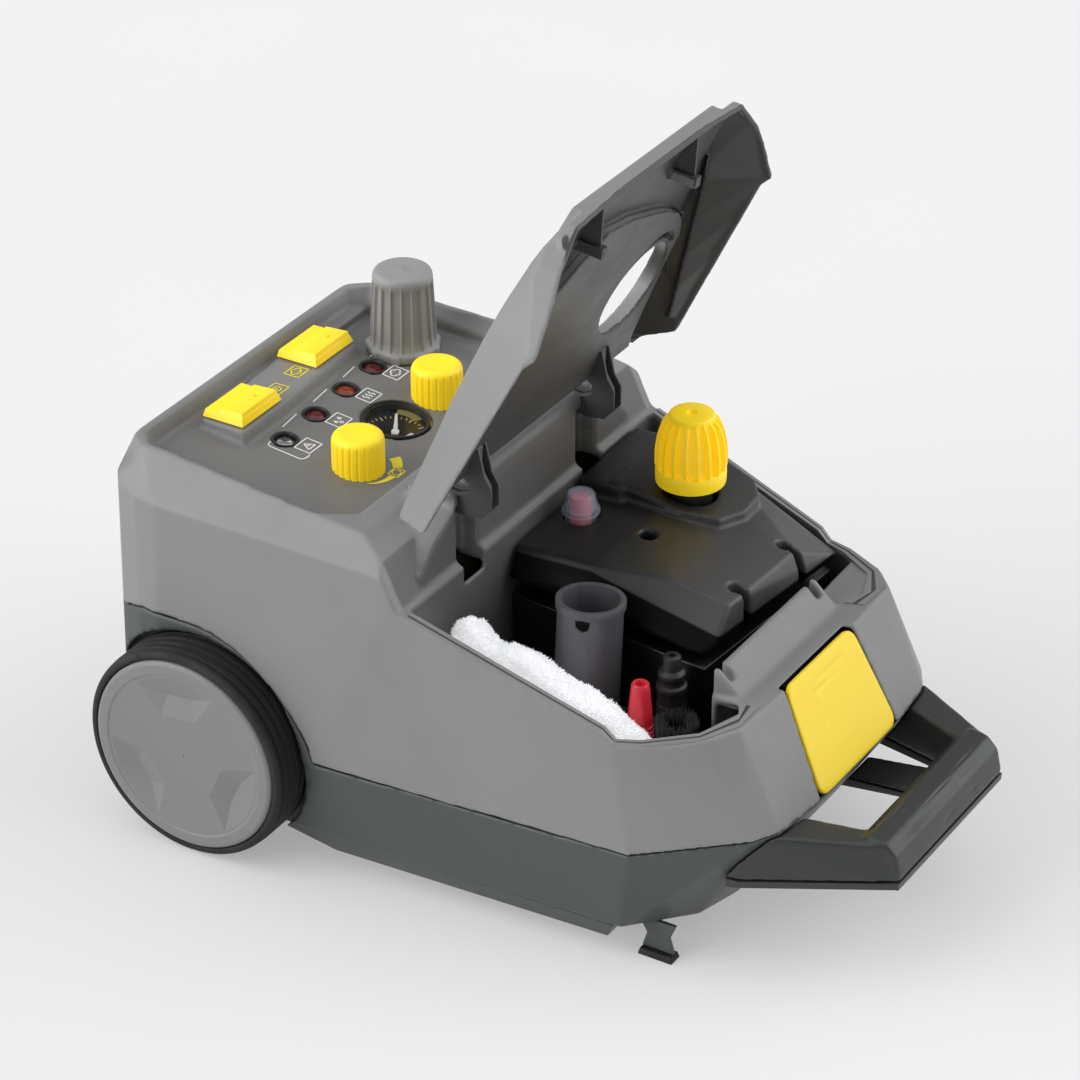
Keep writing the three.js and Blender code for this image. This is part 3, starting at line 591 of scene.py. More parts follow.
def studio_dome():
    """Soft light from all round, with bright banks to the left rear, to the front right and above."""
    world = bpy.data.worlds.new("studio")
    world.use_nodes = True
    tree = world.node_tree
    direction = tree.nodes.new("ShaderNodeTexCoord").outputs["Generated"]
    total = None
    for aim, wide, tight, power in BANKS:
        dot = tree.nodes.new("ShaderNodeVectorMath")
        dot.operation = "DOT_PRODUCT"
        tree.links.new(direction, dot.inputs[0])
        dot.inputs[1].default_value = Vector(aim).normalized()
        spread = tree.nodes.new("ShaderNodeMapRange")
        spread.interpolation_type = "SMOOTHSTEP"
        tree.links.new(dot.outputs["Value"], spread.inputs[0])
        for index, value in ((1, wide), (2, tight), (3, 0), (4, power)):
            spread.inputs[index].default_value = value
        total_now = tree.nodes.new("ShaderNodeMath")
        total_now.operation = "ADD"
        tree.links.new(spread.outputs[0], total_now.inputs[0])
        if total:
            tree.links.new(total, total_now.inputs[1])
        else:
            total_now.inputs[1].default_value = AMBIENT
        total = total_now.outputs[0]
    back = tree.nodes["Background"]
    back.inputs[0].default_value = (0.985, 0.99, 1, 1)
    tree.links.new(total, back.inputs[1])
    bpy.context.scene.world = world


def make_studio():
    bpy.context.scene.view_settings.view_transform = "Standard"
    studio_dome()
    data = mesh_of([(-9, -9, 0), (9, -9, 0), (9, 9, 0), (-9, 9, 0)], [[0, 1, 2, 3]])
    floor = loose("floor", data)
    n = Nodes("floor_paper")
    n.set(Base_Color=n.mix(n.ramp(n.noise(3, 2), 0.3, 0.7, 0, 1), grey(182), grey(180)), Roughness=0.9)
    n.set(Normal=n.bump(n.noise(60, 2), 0.02, 0.0005), Specular_IOR_Level=0.05)
    n.set(Emission_Color=(1, 1, 1, 1), Emission_Strength=0.33)
    data.materials.append(n.material)


make_camera()
make_studio()


# ---------- shells ----------
def hinge_opened(x, y, z):
    """A point given on the shut lid, where it is with the lid standing open."""
    pin_y, pin_z = centre("hinge_pin_left")[1:]
    c, s = math.cos(LID_OPEN), math.sin(LID_OPEN)
    dy, dz = y - pin_y, z - pin_z
    return (x, pin_y + dy * c - dz * s, pin_z + dy * s + dz * c)


LID_TOP = [(-326, 155), (-318, 161.5), (-300, 169.5), (-257, 183.5), (-200, 200.5), (-143, 214.5),
           (-128, 216)]


def lid_top(y):
    """Height of the shut lid's top surface."""
    return between(LID_TOP, y)


def bars(outline, low, high):
    """A flat plate across X between low and high, given as (y, z) points on the shut lid."""
    bm = bmesh.new()
    loops = [[bm.verts.new(metres(*hinge_opened(x, y, z))) for y, z in outline] for x in (low, high)]
    bm.faces.new(loops[0])
    bm.faces.new(loops[1][::-1])
    for i in range(len(outline)):
        j = (i + 1) % len(outline)
        bm.faces.new((loops[0][j], loops[0][i], loops[1][i], loops[1][j]))
    bmesh.ops.recalc_face_normals(bm, faces=bm.faces)
    bmesh.ops.triangulate(bm, faces=[f for f in bm.faces if len(f.verts) > 4])
    return to_mesh(bm)


ARM = [(-107, 224), (-107, 230), (-110, 232.4), (-115, 232.4), (-117.4, 229), (-118, 212), (-123, 204),
       (-129, 204), (-134, 212.6), (-158, 207.6), (-153, 201), (-144, 197.5), (-137.5, 195),
       (-131, 189.5), (-119, 188), (-111, 193), (-108, 203)]


def twin_arm(side):
    """A hinge arm: two thin cheeks with a recessed web between them."""
    inner = [(y - (1.6 if y > -113 else 0), z + (2.6 if z < 200 else 0)) for y, z in ARM]
    x = side * ARM_X
    return [bars(ARM, x - 4.6, x - 3.2), bars(ARM, x + 3.2, x + 4.6), bars(inner, x - 3.3, x + 0.5)]


def lid_ribs():
    """The hinge arms, a thin bent rib, and two square hook posts, each with a gusset to the front lip."""
    made = []
    for side in (-1, 1):
        made += twin_arm(side)
        x = side * 50
        for dx, dy in ((-2.1, 0), (2.1, 0), (0, -2.6), (0, 2.6)):
            wide, deep = (0.55, 3.2) if dx else (1.6, 0.55)
            corners = [(x + dx + a * wide, -289 + dy + b * deep, z)
                       for a in (-1, 1) for b in (-1, 1) for z in (153.6, 170.6)]
            made.append(hull([hinge_opened(*corner) for corner in corners]))
        gusset = [(-291, 156), (-291, 171), (-300, 168), (-317, 161), (-317, 158), (-311, 157.5)]
        made.append(bars(gusset, x - 0.7, x + 0.7))
    bend = [(84, -246, 10), (98, -236, 8), (105, -212, 6.5), (111, -196, 8), (123, -174, 13), (126, -146, 13)]
    for first, last in zip(bend, bend[1:]):
        made.append(hull([hinge_opened(x + k, y, lid_top(y) - z)
                          for x, y, low in (first, last) for k in (-0.6, 0.6) for z in (2, low)]))
    # The ribs take the grey painted as shade under the lid.
    obj = finish_piece("lid_ribs", merged(made), UNDERSIDE_SHADE, "lid")
    bevelled(obj, 0.3, 2, 40)


HOLE = (70, -200, 33.8)
ARCH = [(-100, -236), (-58, -262), (-46, -274), (-25, -286), (6, -279), (39, -266.6), (62, -257),
        (84, -245), (96, -233), (108, -214)]


def arch(x):
    """The hole plate's front edge."""
    return between(ARCH, x)


def hole_plate():
    """The thicker middle of the lid round the cap's hole; its front edge is an arch."""
    centre_x, centre_y, radius = HOLE
    across = [centre_x - radius * math.cos(math.radians(7.5 * i)) for i in range(25)]
    marks = sorted({*across, *[-100 + 4 * i for i in range(35)], *[x for x, y in ARCH], 105})
    stops = [x for x in marks if x <= 105 and not centre_x - radius < x < centre_x + radius or x in across]

    def reach(x):
        return math.sqrt(max(0.0, radius ** 2 - (x - centre_x) ** 2))

    made = []
    for x1, x2 in zip(stops, stops[1:]):
        front = (arch(x1), arch(x2))
        steps = [front, *[(y, y) for y in (-257, -200, -143) if y > max(front) + 0.5], (-134.2, -134.2)]
        if reach((x1 + x2) / 2) > 0:
            near, far = [tuple(centre_y + k * reach(x) for x in (x1, x2)) for k in (-1, 1)]
            before = [s for s in steps if max(s) < min(near)] + [near]
            after = [far] + [s for s in steps if min(s) > max(far)]
            spans = [*zip(before, before[1:]), *zip(after, after[1:])]
        else:
            spans = zip(steps, steps[1:])
        for low, high in spans:
            corners = ((x1 - 0.05, low[0]), (x2 + 0.05, low[1]), (x2 + 0.05, high[1]), (x1 - 0.05, high[0]))
            made.append(hull([hinge_opened(x, y, lid_top(y) - drop)
                              for x, y in corners for drop in (10, 1.2)]))
    return made


CREASE = [(90, -299, 167.5), (95, -275, 171.4), (104, -258, 176), (111, -227, 181.2), (115, -200, 184.7),
          (119, -173, 188.8), (125, -149, 193.5)]
WING_EDGE = [(99, -306, 152), (113, -285, 148.8), (124.5, -262, 148.6), (127.5, -232, 160.8),
             (130.5, -202, 171.2), (133.5, -172, 181.6), (135.5, -147, 190)]


def wing_lining(side):
    """The flat thick inside of a side wing, from a crease to its lower edge."""
    made = []
    for i in range(len(CREASE) - 1):
        corners = [CREASE[i], CREASE[i + 1], WING_EDGE[i], WING_EDGE[i + 1]]
        made.append(hull([hinge_opened(side * (x + k * 0.7), y, z + k * 1.6)
                          for x, y, z in corners for k in (0, 1)]))
    tip = [(90, -299, 167.5), (99, -306, 152), (84, -318, 160), (96, -318, 155)]
    made.append(hull([hinge_opened(side * x, y, z + k) for x, y, z in tip for k in (0, 2)]))
    return made


def lid_arm_cuts():
    """Room for the separate hinge arms."""
    made = []
    for side in (-1, 1):
        x = side * ARM_X
        for y, z in (((-134.3, -95), (180, 240)), ((-162, -134.3), (180, 207.4))):
            made.append(hull([hinge_opened(x + dx, b, c) for dx in (-4.6, 4.6) for b in y for c in z]))
    return made


def thick_wall():
    """Backs the thin sloping walls beside the bay's back wall, and the wall between the hinge arms."""
    made = []
    for side in (-1, 1):
        made.append(hull([(side * x, *p) for x in (100, 130) for p in ((-131.8, 193), (-127, 190))]
                         + [(side * x, *p) for x in (100, 113) for p in ((-121.8, 214), (-115.5, 212))]))
    made.append(hull([(x, y, z) for x in (-53, 53) for y in (-131.8, -118) for z in (182, 226)]))
    return made


def arm_recesses():
    """The wide recesses in the bay's back wall that the hinge arms swing in."""
    return [block((x - 10.5, -136, 179.5), (x + 10.5, -120.5, 226)) for x in (-64, 64)]


moulded("upper_casing", 1.3, 6, CASING, cuts=arm_recesses(), adds=thick_wall(), keep=0.3)
moulded("lower_base", 1.4, 5, BASE)
moulded("lid", 1.1, 5, LID_PLASTIC, cuts=lid_arm_cuts(),
        adds=[*hole_plate(), *wing_lining(-1), *wing_lining(1)])
lid_ribs()
moulded("tank_cover", 1.1, 12, COVER)
handle = moulded("front_handle", 0.9, 30, HANDLE, keep=0.5)

RIM_INNER = [(131, -138), (120.85, -254.6), (120.3, -261.4), (115, -274), (97, -299), (72, -309), (61, -303)]
RIM_OUTER = [(139, -138), (127.2, -254.6), (126.2, -261.4), (121.2, -276.5), (104.3, -303.5), (86, -317),
             (62, -317)]
RIM_TOP = [(-318, 151), (-290, 146), (-261.4, 144), (-254.6, 150.3), (-133, 191.7)]


def rim_run(side, start, stop, foot, top):
    """A bar along the rim, between two shares of the rim's width and two heights from it."""
    rows = []
    for (x1, y1), (x2, y2) in zip(RIM_INNER, RIM_OUTER):
        ends = [(x1 + (x2 - x1) * t, y1 + (y2 - y1) * t) for t in (start, stop)]
        rows.append([metres(side * x, y, between(RIM_TOP, y) + z)
                     for (x, y), z in ((ends[0], foot), (ends[0], top), (ends[1], top), (ends[1], foot))])
    verts = [v for row in rows for v in row]
    faces = [[4 * i + k, 4 * i + (k + 1) % 4, 4 * (i + 1) + (k + 1) % 4, 4 * (i + 1) + k]
             for i in range(len(rows) - 1) for k in range(4)]
    return verts, faces + [[0, 1, 2, 3], [len(verts) - 1 - k for k in range(4)]]


def bay_rim(side):
    """Two fine raised lines along the rim of the storage bay, with a low strip between them painted grey as
    the groove's shade.
    """
    name = "left" if side < 0 else "right"
    lines = [rim_run(side, 0.02, 0.36, -1.5, 0.7), rim_run(side, 0.56, 0.9, -1.5, 0.5)]
    groove = [rim_run(side, 0.3, 0.62, -1.5, 0.05)]
    for label, runs, material in ((f"bay_rim_{name}", lines, CASING_PLAIN),
                                  (f"bay_rim_groove_shade_{name}", groove, UNDERSIDE_SHADE)):
        data = clean(mesh_of(*joined(runs)))
        finish_piece(label, data, material, "chassis", smooth=False)


bay_rim(-1)
bay_rim(1)


# ---------- wheels ----------
def hub_cap(side):
    """A shallow dish with a rolled edge, three faceted hollows and a gate mark."""
    sign = -1 if side == "left" else 1
    outer = [(0, 152.2), (56, 151.4), (60.1, 151.6), (60.1, 157.4), (59.7, 158.6), (58.8, 159.5),
             (57.6, 159.9), (53, 160), (52.2, 159.9), (51.4, 159.5), (50, 159.4), (1.0, 159.4), (0.8, 159.7),
             (0, 159.8)]
    at = (0, 0, WHEEL_Z)
    data = clean(mesh_of(*lathe([(r, sign * h) for r, h in outer], at, 144, axis="x")))
    cuts = []
    for turn in (85, 205, 325):
        c, s = math.cos(math.radians(turn)), math.sin(math.radians(turn))
        points = []
        rim = [(49.8 * math.sin(a), 49.8 * math.cos(a)) for a in [math.radians(d) for d in range(-32, 33, 8)]]
        for across, out, deep in [(-11.8, 24.3, 0), (11.8, 24.3, 0), *[(a, o, 0) for a, o in rim],
                                  (-8, 37, 3.4), (8, 37, 3.4)]:
            lift = 159.4 - deep if deep else 159.42
            points.append((sign * lift, out * c - across * s, WHEEL_Z + out * s + across * c))
            if not deep:
                points.append((sign * 162, out * c - across * s, WHEEL_Z + out * s + across * c))
        cuts.append(hull(points))
    data = clean(cut_out(data, cuts))
    data.set_sharp_from_angle(angle=math.radians(7))
    finish_piece(f"hub_cap_{side}_moulding", data, PALE, f"wheel_{side}", [f"hub_cap_{side}"])


def tyre(side):
    """A rubber tyre with a rounded outer shoulder and four raised bands round the tread."""
    sign = -1 if side == "left" else 1
    profile = [(58.4, 128.2), (62.5, 128.0), (64.6, 128.6), (65.4, 129.8)]
    for start in (130.2, 136.2, 142.2, 148.2):
        profile += [(65.2, start), (65.9, start + 0.5), (66, start + 2.4), (65.8, start + 4.2),
                    (64.6, start + 4.7), (64.1, start + 5.1), (64.1, start + 5.6)]
    profile += [(65.2, 154.2), (65.6, 155), (65.2, 156.6), (64.2, 157.9), (62.8, 158.5), (61.2, 158.5),
                (60.6, 158.0), (60.5, 151.2), (58.4, 150.8)]
    data = turned([(r, sign * h) for r, h in profile], (0, 0, WHEEL_Z), 160, 50, axis="x")
    finish_piece(f"tyre_{side}_rubber", data, RUBBER, f"wheel_{side}", [f"tyre_{side}"])


# ---------- turned and fluted controls ----------
def smoothstep(low, high, value):
    t = min(1.0, max(0.0, (value - low) / (high - low)))
    return t * t * (3 - 2 * t)


FLUTES = 22


def knob(node):
    """A round knob with FLUTES narrow flutes that stop below its rounded top edge."""
    at = centre(node)
    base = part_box(node)[0][2] * 1000
    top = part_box(node)[1][2] * 1000 - base
    edge = 15.2
    profile = [(0, 0.4), (edge - 1.2, 0.4), (edge - 0.2, 1.0), (edge, 2), (edge, 8), (edge, 15), (edge, 22)]
    profile += [(edge, top - 6), (edge - 0.1, top - 4.4), (edge - 0.3, top - 3.2), (edge - 0.8, top - 2),
                (edge - 1.6, top - 1.1), (edge - 2.8, top - 0.4), (edge - 4.2, top - 0.05),
                (edge - 5.4, top - 0.1), (6, top - 0.5), (0, top - 0.6)]

    def shaped(r, h, angle):
        wave = 0.5 + 0.5 * math.cos(FLUTES * angle)
        groove = smoothstep(0.72, 1.0, wave)
        return r - 0.85 * groove * smoothstep(9, 12, r) * smoothstep(top - 2.4, top - 4.6, h)

    data = turned(profile, (at[0], at[1], base), FLUTES * 14, 60, shaped)
    finish_piece(node + "_grip", data, YELLOW, node, [node])


def safety_cap():
    """The filler's cap: a plain band, thin fins up a tapering body, and a disc with a dimple on top."""
    node = "safety_cap"
    at = centre(node)
    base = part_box(node)[0][2] * 1000
    body = [(0, 3), (14.8, 3), (15.4, 0.3), (19.1, 0), (20.2, 0.7), (20.4, 1.8), (20.5, 6), (20.4, 9.4),
            (20, 10.2), (17.8, 10.6), (17.5, 11.4), (17.4, 15), (17.2, 19), (16.8, 23), (16.2, 27),
            (15.4, 31), (14.5, 34.4), (13.7, 37), (13.2, 38.6), (13, 40), (13.1, 41), (13.3, 42.4),
            (12.9, 43.4), (12, 43.9), (6, 44), (3.2, 43.9), (2.5, 43.2), (2.2, 41.6), (1.0, 41.2),
            (0.7, 39.5), (0, 39.4)]
    fins = [(10, 20.6), (12, 20.9), (19, 20.9), (25, 20.4), (30, 19.5), (34.4, 18.3), (37, 17.2),
            (38.6, 16.3), (40, 15.2), (41.4, 13.2)]

    def shaped(r, h, angle):
        if r < 12.9 or h < 10.3 or h > 41.2:
            return r
        ridge = smoothstep(0.76, 0.9, 0.5 + 0.5 * math.cos(18 * angle))
        return r + max(0.0, between(fins, h) - r) * ridge

    data = turned(body, (at[0], at[1], base), 18 * 18, 42, shaped)
    finish_piece("safety_cap_moulding", data, YELLOW, "safety_cap", [node])


def rear_cap():
    """The tall grey cap: wide scalloped flutes between thin ribs, a plain crown and a tabbed foot."""
    node = "rear_cap"
    at = centre(node)
    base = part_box(node)[0][2] * 1000
    body = [(0, 4), (15.5, 4), (16, 0.4), (20.6, 0), (21.4, 0.8), (21.5, 4.6), (21.1, 5.6), (20.2, 6.2),
            (20.0, 7.4), (19.8, 12), (19.5, 18), (19.2, 24), (18.9, 30), (18.6, 36), (18.3, 41),
            (18.15, 44), (18.05, 46), (17.95, 48.4), (17.6, 50.4), (16.8, 51.9), (15.4, 52.8), (13, 53),
            (8, 52.6), (1, 52.3), (0.7, 52.7), (0, 52.8)]

    def shaped(r, h, angle):
        if h <= 5.8:
            tab = smoothstep(0.6, 0.85, 0.5 + 0.5 * math.cos(9 * angle))
            return r + (tab if r > 20 else 0)
        wave = abs(math.cos(9 * angle))
        scallop = smoothstep(0.0, 0.42, wave) if r > 17 else 0
        return r - 1.7 * scallop * smoothstep(47.6, 44.6, h) * smoothstep(6.2, 8.5, h)

    data = turned(body, (at[0], at[1], base), 18 * 18, 70, shaped)
    finish_piece("rear_cap_moulding", data, CAP_GREY, "rear_cap", [node])


# ---------- lamps, gauge and the panel's print ----------
def on_panel(x, y, lift=0.0):
    return (x, y, panel_z(y) + lift)


def tilted(parts, at):
    """Leans a piece made about a vertical axis to stand square to the sloping panel."""
    verts, faces = parts
    turn = Matrix.Rotation(math.atan(PANEL_SLOPE), 4, "X")
    middle = metres(*at)
    return [middle + turn @ (Vector(v) - middle) for v in verts], faces


def lamp(node, lens):
    """A lens with a stepped dome, sunk in a black bezel."""
    at = centre(node)
    here = on_panel(at[0], at[1])
    bezel = [(6.1, -5), (7.9, -5), (7.9, 0.25), (7.6, 0.5), (7.1, 0.5), (6.6, 0.1), (6.3, -0.8), (6.1, -1.5)]
    dome = [(0, -5), (5.9, -5), (5.9, -1.9), (5.5, -1.3), (4.9, -1.2), (4.4, -0.7), (3.7, -0.6), (3.2, -0.15),
            (2.0, 0.05), (0, 0.1)]
    for label, profile, material, steps in (("bezel", bezel, BLACK, 64), ("lens", dome, lens, 48)):
        data = clean(mesh_of(*tilted(lathe(profile, here, steps), here)))
        data.set_sharp_from_angle(angle=math.radians(40))
        finish_piece(f"{node}_{label}", data, material, "chassis", [node])


def strip(points, width, lift=0.24, thick=0.12, height=panel_z):
    """A printed line along points on the panel."""
    verts, faces = [], []
    for (x1, y1), (x2, y2) in zip(points, points[1:]):
        length = math.hypot(x2 - x1, y2 - y1)
        nx, ny = -(y2 - y1) / length * width / 2, (x2 - x1) / length * width / 2
        start = len(verts)
        for x, y in ((x1 + nx, y1 + ny), (x1 - nx, y1 - ny), (x2 - nx, y2 - ny), (x2 + nx, y2 + ny)):
            verts.append(metres(x, y, height(y) + lift))
            verts.append(metres(x, y, height(y) + lift - thick))
        a = [start + i for i in range(8)]
        faces += [[a[0], a[2], a[4], a[6]], [a[1], a[7], a[5], a[3]], [a[0], a[1], a[3], a[2]],
                  [a[2], a[3], a[5], a[4]], [a[4], a[5], a[7], a[6]], [a[6], a[7], a[1], a[0]]]
    return verts, faces


def arc(at, radius, start, stop, steps=10):
    angles = [math.radians(start + (stop - start) * i / steps) for i in range(steps + 1)]
    return [(at[0] + radius * math.cos(a), at[1] + radius * math.sin(a)) for a in angles]


def square(at, width, depth):
    x, y = at
    return [(x - width, y - depth), (x + width, y - depth), (x + width, y + depth), (x - width, y + depth),
            (x - width, y - depth)]


def symbol(kind, at):
    """Plain generic signs: a ring, drops, waves, a cloud, and a small triangle with a line in it."""
    x, y = at
    if kind == "ring":
        return [arc(at, 2.6, 0, 360, 16), [(x, y - 1.2), (x, y + 1.2)]]
    if kind == "drops":
        return [[(x - 2.4, y + 1.8), (x - 3.4, y - 0.6), (x - 1.4, y - 0.6), (x - 2.4, y + 1.8)],
                [(x + 2.0, y + 2.6), (x + 0.8, y + 0.2), (x + 3.2, y + 0.2), (x + 2.0, y + 2.6)],
                arc((x - 0.6, y - 2.4), 1.0, 0, 360, 10)]
    if kind == "waves":
        return [[(x + d, y - 2.6), (x + d + 1, y - 1), (x + d - 0.6, y + 0.8), (x + d + 0.6, y + 2.6)]
                for d in (-2.8, 0, 2.8)]
    if kind == "cloud":
        return [arc((x - 2, y), 1.9, 60, 300, 10), arc((x + 2.2, y + 0.2), 1.8, -120, 120, 10),
                arc((x, y + 1.4), 1.9, 20, 160, 8), [(x - 1.4, y - 2.6), (x + 1.4, y - 2.6)]]
    return [[(x - 3.4, y - 2.6), (x, y + 3), (x + 3.4, y - 2.6), (x - 3.4, y - 2.6)],
            [(x, y - 1), (x, y + 1)]]


def plinth_z(y):
    """Height of the level ground under the rockers."""
    return 227


def panel_print():
    """The console's printed frames, lines and signs."""
    white, yellow = [], []
    lamps = [centre(f"lamp_{i}")[:2] for i in (1, 2, 3, 4)]
    for (x, y), kind in zip(lamps, ("mark", "drops", "waves", "cloud")):
        at = (x + 2.4, y - 14.2)
        white.append(strip(square(at, 6.3, 5.2), 0.75))
        white += [strip(line, 0.8) for line in symbol(kind, at)]
    for (x1, y1), (x2, y2) in zip(lamps, lamps[1:]):
        white.append(strip([(x1 + 9.5, y1 + 8.2), (x2 - 7.5, y2 + 8.2)], 0.8))
    (x, y), (fx, fy) = lamps[0], lamps[3]
    corner = arc((x - 9, y + 1.6), 3, 90, 180, 5) + arc((x - 9, y - 17.4), 3, 180, 270, 5)
    white.append(strip([(x - 7.5, y + 4.6)] + corner + [(x - 5, y - 20.4)], 0.8))
    white.append(strip([(fx + 8, fy + 7.2), (fx + 11.5, fy + 7.0), (fx + 15, fy - 14)], 0.8))
    for at, kind in (((-14.8, 28.2), "ring"), ((8.6, 30.4), "cloud")):
        yellow.append(strip(square(at, 5.6, 4.9), 0.75, height=plinth_z))
        yellow += [strip(line, 0.8, height=plinth_z) for line in symbol(kind, at)]
    for node in ("steam_knob", "suction_knob"):
        yellow += knob_scale(centre(node)[:2])
    for name, parts, material in (("panel_print_white", white, PRINT_WHITE),
                                  ("panel_print_yellow", yellow, PRINT_YELLOW)):
        finish_piece(name, mesh_of(*joined(parts)), material, "chassis", smooth=False)


def knob_scale(at):
    """A tapering arc round a knob, broken by a small framed sign."""
    made = []
    for start, stop in ((-130, -79), (-52, -27)):
        steps = 14
        for i in range(steps):
            a, b = (start + (stop - start) * (i + k) / steps for k in (0, 1))
            share = (a + 130) / 103
            middle, width = 17.4 + 6.2 * share, 0.5 + 6.6 * share
            made.append(strip([*arc(at, middle, a, b + 0.4, 1)], width))
    sign = arc(at, 21.6, -65.5, -65.5, 1)[0]
    made.append(strip(square(sign, 4.2, 3.2), 0.7))
    made += [strip(line, 0.6) for line in symbol("ring", sign)[:1]]
    return made


def dial_z(y):
    """Height of the gauge's sunken card."""
    return panel_z(y) - 3.9


NEEDLE_HEADING = math.degrees(math.atan2(0.5193, 0.8546))


def gauge_dial():
    """The gauge's face: a black card with ticks about the needle's pivot, a pale sector and a bezel."""
    x, y = centre("gauge_body")[:2]
    pivot = (x - 8.3, y - 5.0)
    ticks_white, ticks_yellow = [], []
    for i in range(13):
        turn = math.radians(NEEDLE_HEADING - 60 + i * 10)
        long = i % 3 == 0
        reaches = (15.2, 18.4) if long else (16.6, 18.4)
        ends = [(pivot[0] + r * math.cos(turn), pivot[1] + r * math.sin(turn)) for r in reaches]
        if any(math.hypot(ex - x, ey - y) > 17.2 for ex, ey in ends):
            continue
        (ticks_white if long else ticks_yellow).append(strip(ends, 0.5, 0.3, 0.1, dial_z))
    sector = []
    for i in range(10):
        span = arc((x, y), 14.4, NEEDLE_HEADING - 62 + i * 6, NEEDLE_HEADING - 55.6 + i * 6, 1)
        sector.append(strip(span, 5.4, 0.2, 0.1, dial_z))
    ticks_white.append(strip([(x - 13.6, y - 11.6), (x - 1.6, y - 12.6)], 2.6, 0.3, 0.1, dial_z))
    card = [(0, -0.1), (17.5, -0.1), (17.5, 0.1), (0, 0.1)]
    here = (x, y, dial_z(y))
    data = clean(mesh_of(*tilted(lathe(card, here, 72), here)))
    finish_piece("gauge_card", data, GLOSS, "chassis", smooth=False)
    for name, parts, material in (("gauge_ticks_white", ticks_white, PRINT_WHITE),
                                  ("gauge_ticks_yellow", ticks_yellow, PRINT_YELLOW),
                                  ("gauge_sector", sector, SECTOR)):
        finish_piece(name, mesh_of(*joined(parts)), material, "chassis", smooth=False)
    ring = [(18.6, -2), (20.2, -2), (20.2, 0.3), (19.9, 0.75), (19.3, 0.8), (18.8, 0.5), (18.6, -0.2)]
    here = on_panel(x, y)
    data = clean(mesh_of(*tilted(lathe(ring, here, 96), here)))
    finish_piece("gauge_bezel", data, BLACK, "chassis")
    dome = [(0, -1.0), (18.5, -1.0), (18.5, 0.1), (16, 0.5), (8, 1.0), (0, 1.15)]
    data = clean(mesh_of(*tilted(lathe(dome, here, 96), here)))
    finish_piece("gauge_glass", data, GLASS_THIN, "chassis", ["gauge_lens"])


# ---------- things stowed in the bay ----------
def tufted_cloth():
    """A folded terry cloth: a rumpled roll with a fold in it, covered in short loops of pile."""
    generator = random.Random(7)
    spine = [(-146, 152, 7, 15), (-150, 153, 15, 19), (-157, 154, 16.5, 21), (-164, 148, 16, 20),
             (-171, 141, 15.5, 20), (-180, 142, 16.5, 24), (-191, 141, 17, 24), (-203, 138, 17, 22),
             (-215, 133, 17, 20), (-228, 131, 17, 19), (-241, 128, 16, 19), (-252, 123, 15.5, 18),
             (-262, 119, 14, 16), (-270, 116, 12, 12), (-275, 115, 6, 6)]
    around = 44
    rings = []
    for i, (y, z, wide, tall) in enumerate(spine):
        ring = []
        for k in range(around):
            angle = 2 * math.pi * k / around
            c, s = math.cos(angle), math.sin(angle)
            fold = (1 - 0.13 * math.exp(-((angle - 1.15) / 0.16) ** 2)
                    - 0.10 * math.exp(-((angle - 2.2) / 0.2) ** 2))
            swell = 1 + 0.05 * math.sin(i * 1.3 + k * 0.5) + 0.03 * math.sin(i * 2.9 - k * 0.8)
            reach = fold * swell
            x = -99.5 + wide * reach * math.copysign(abs(c) ** 0.8, c)
            up = tall * reach * math.copysign(abs(s) ** 0.85, s)
            ring.append((x, y + 1.5 * math.sin(k * 0.6 + i), z + up))
        rings.append(ring)
    work = skinned(loft(rings), 1.1, 6)
    for size, strength in ((0.014, 0.0034), (0.0032, 0.0017)):
        texture = bpy.data.textures.new("pile", "CLOUDS")
        texture.noise_scale = size
        lumps = work.modifiers.new("lumps", "DISPLACE")
        lumps.texture = texture
        lumps.strength = strength
        lumps.mid_level = 0.6
    data = evaluated(work)
    bm = bmesh.new()
    bm.from_mesh(data)
    faces = [f for f in bm.faces if f.calc_center_median().z > 0.118]
    chosen = generator.sample(faces, min(len(faces), 15000))
    spots = [(face.calc_center_median(), face.normal.copy()) for face in chosen]
    for at, normal in spots:
        lean = Vector([generator.gauss(0, 0.45) for _ in range(3)])
        way = (normal + lean).normalized()
        side = way.orthogonal().normalized() * 0.00042
        other = way.cross(side)
        length = generator.uniform(0.0009, 0.0021)
        bend = Vector([generator.gauss(0, 0.0004) for _ in range(3)])
        corners = (side, other * 0.9 - side * 0.5, -other * 0.9 - side * 0.5)
        base = [bm.verts.new(at + v) for v in corners]
        middle = [bm.verts.new(at + way * length * 0.6 + v * 0.8) for v in corners]
        tip = bm.verts.new(at + way * length + bend)
        for i in range(3):
            j = (i + 1) % 3
            bm.faces.new((base[i], base[j], middle[j], middle[i]))
            bm.faces.new((middle[i], middle[j], tip))
    bm.to_mesh(data)
    bm.free()
    obj = finish_piece("terry_cloth_folded", data, TERRY, "chassis", ["terry_cloth"])


def red_nozzle():
    """A slim hollow cone with grip ribs near its foot."""
    at = centre("red_nozzle")
    profile = [(0, 56), (8.4, 55.4), (8.9, 56.4), (8.9, 106), (8.4, 108)]
    for i in range(5):
        z = 109 + i * 3.4
        rib, neck = 8.3 - i * 0.25, 7.7 - i * 0.25
        profile += [(rib, z), (rib, z + 1.7), (neck, z + 2.0), (neck, z + 3.0)]
    profile += [(7.2, 127), (6.4, 136), (5.6, 145), (5.0, 150.2), (4.4, 151), (3.2, 151), (2.8, 150),
                (2.6, 130), (0, 130)]
    data = turned(profile, (at[0], at[1], 0), 64, 45)
    finish_piece("red_nozzle_turned", data, RED, "red_nozzle", ["red_nozzle"])


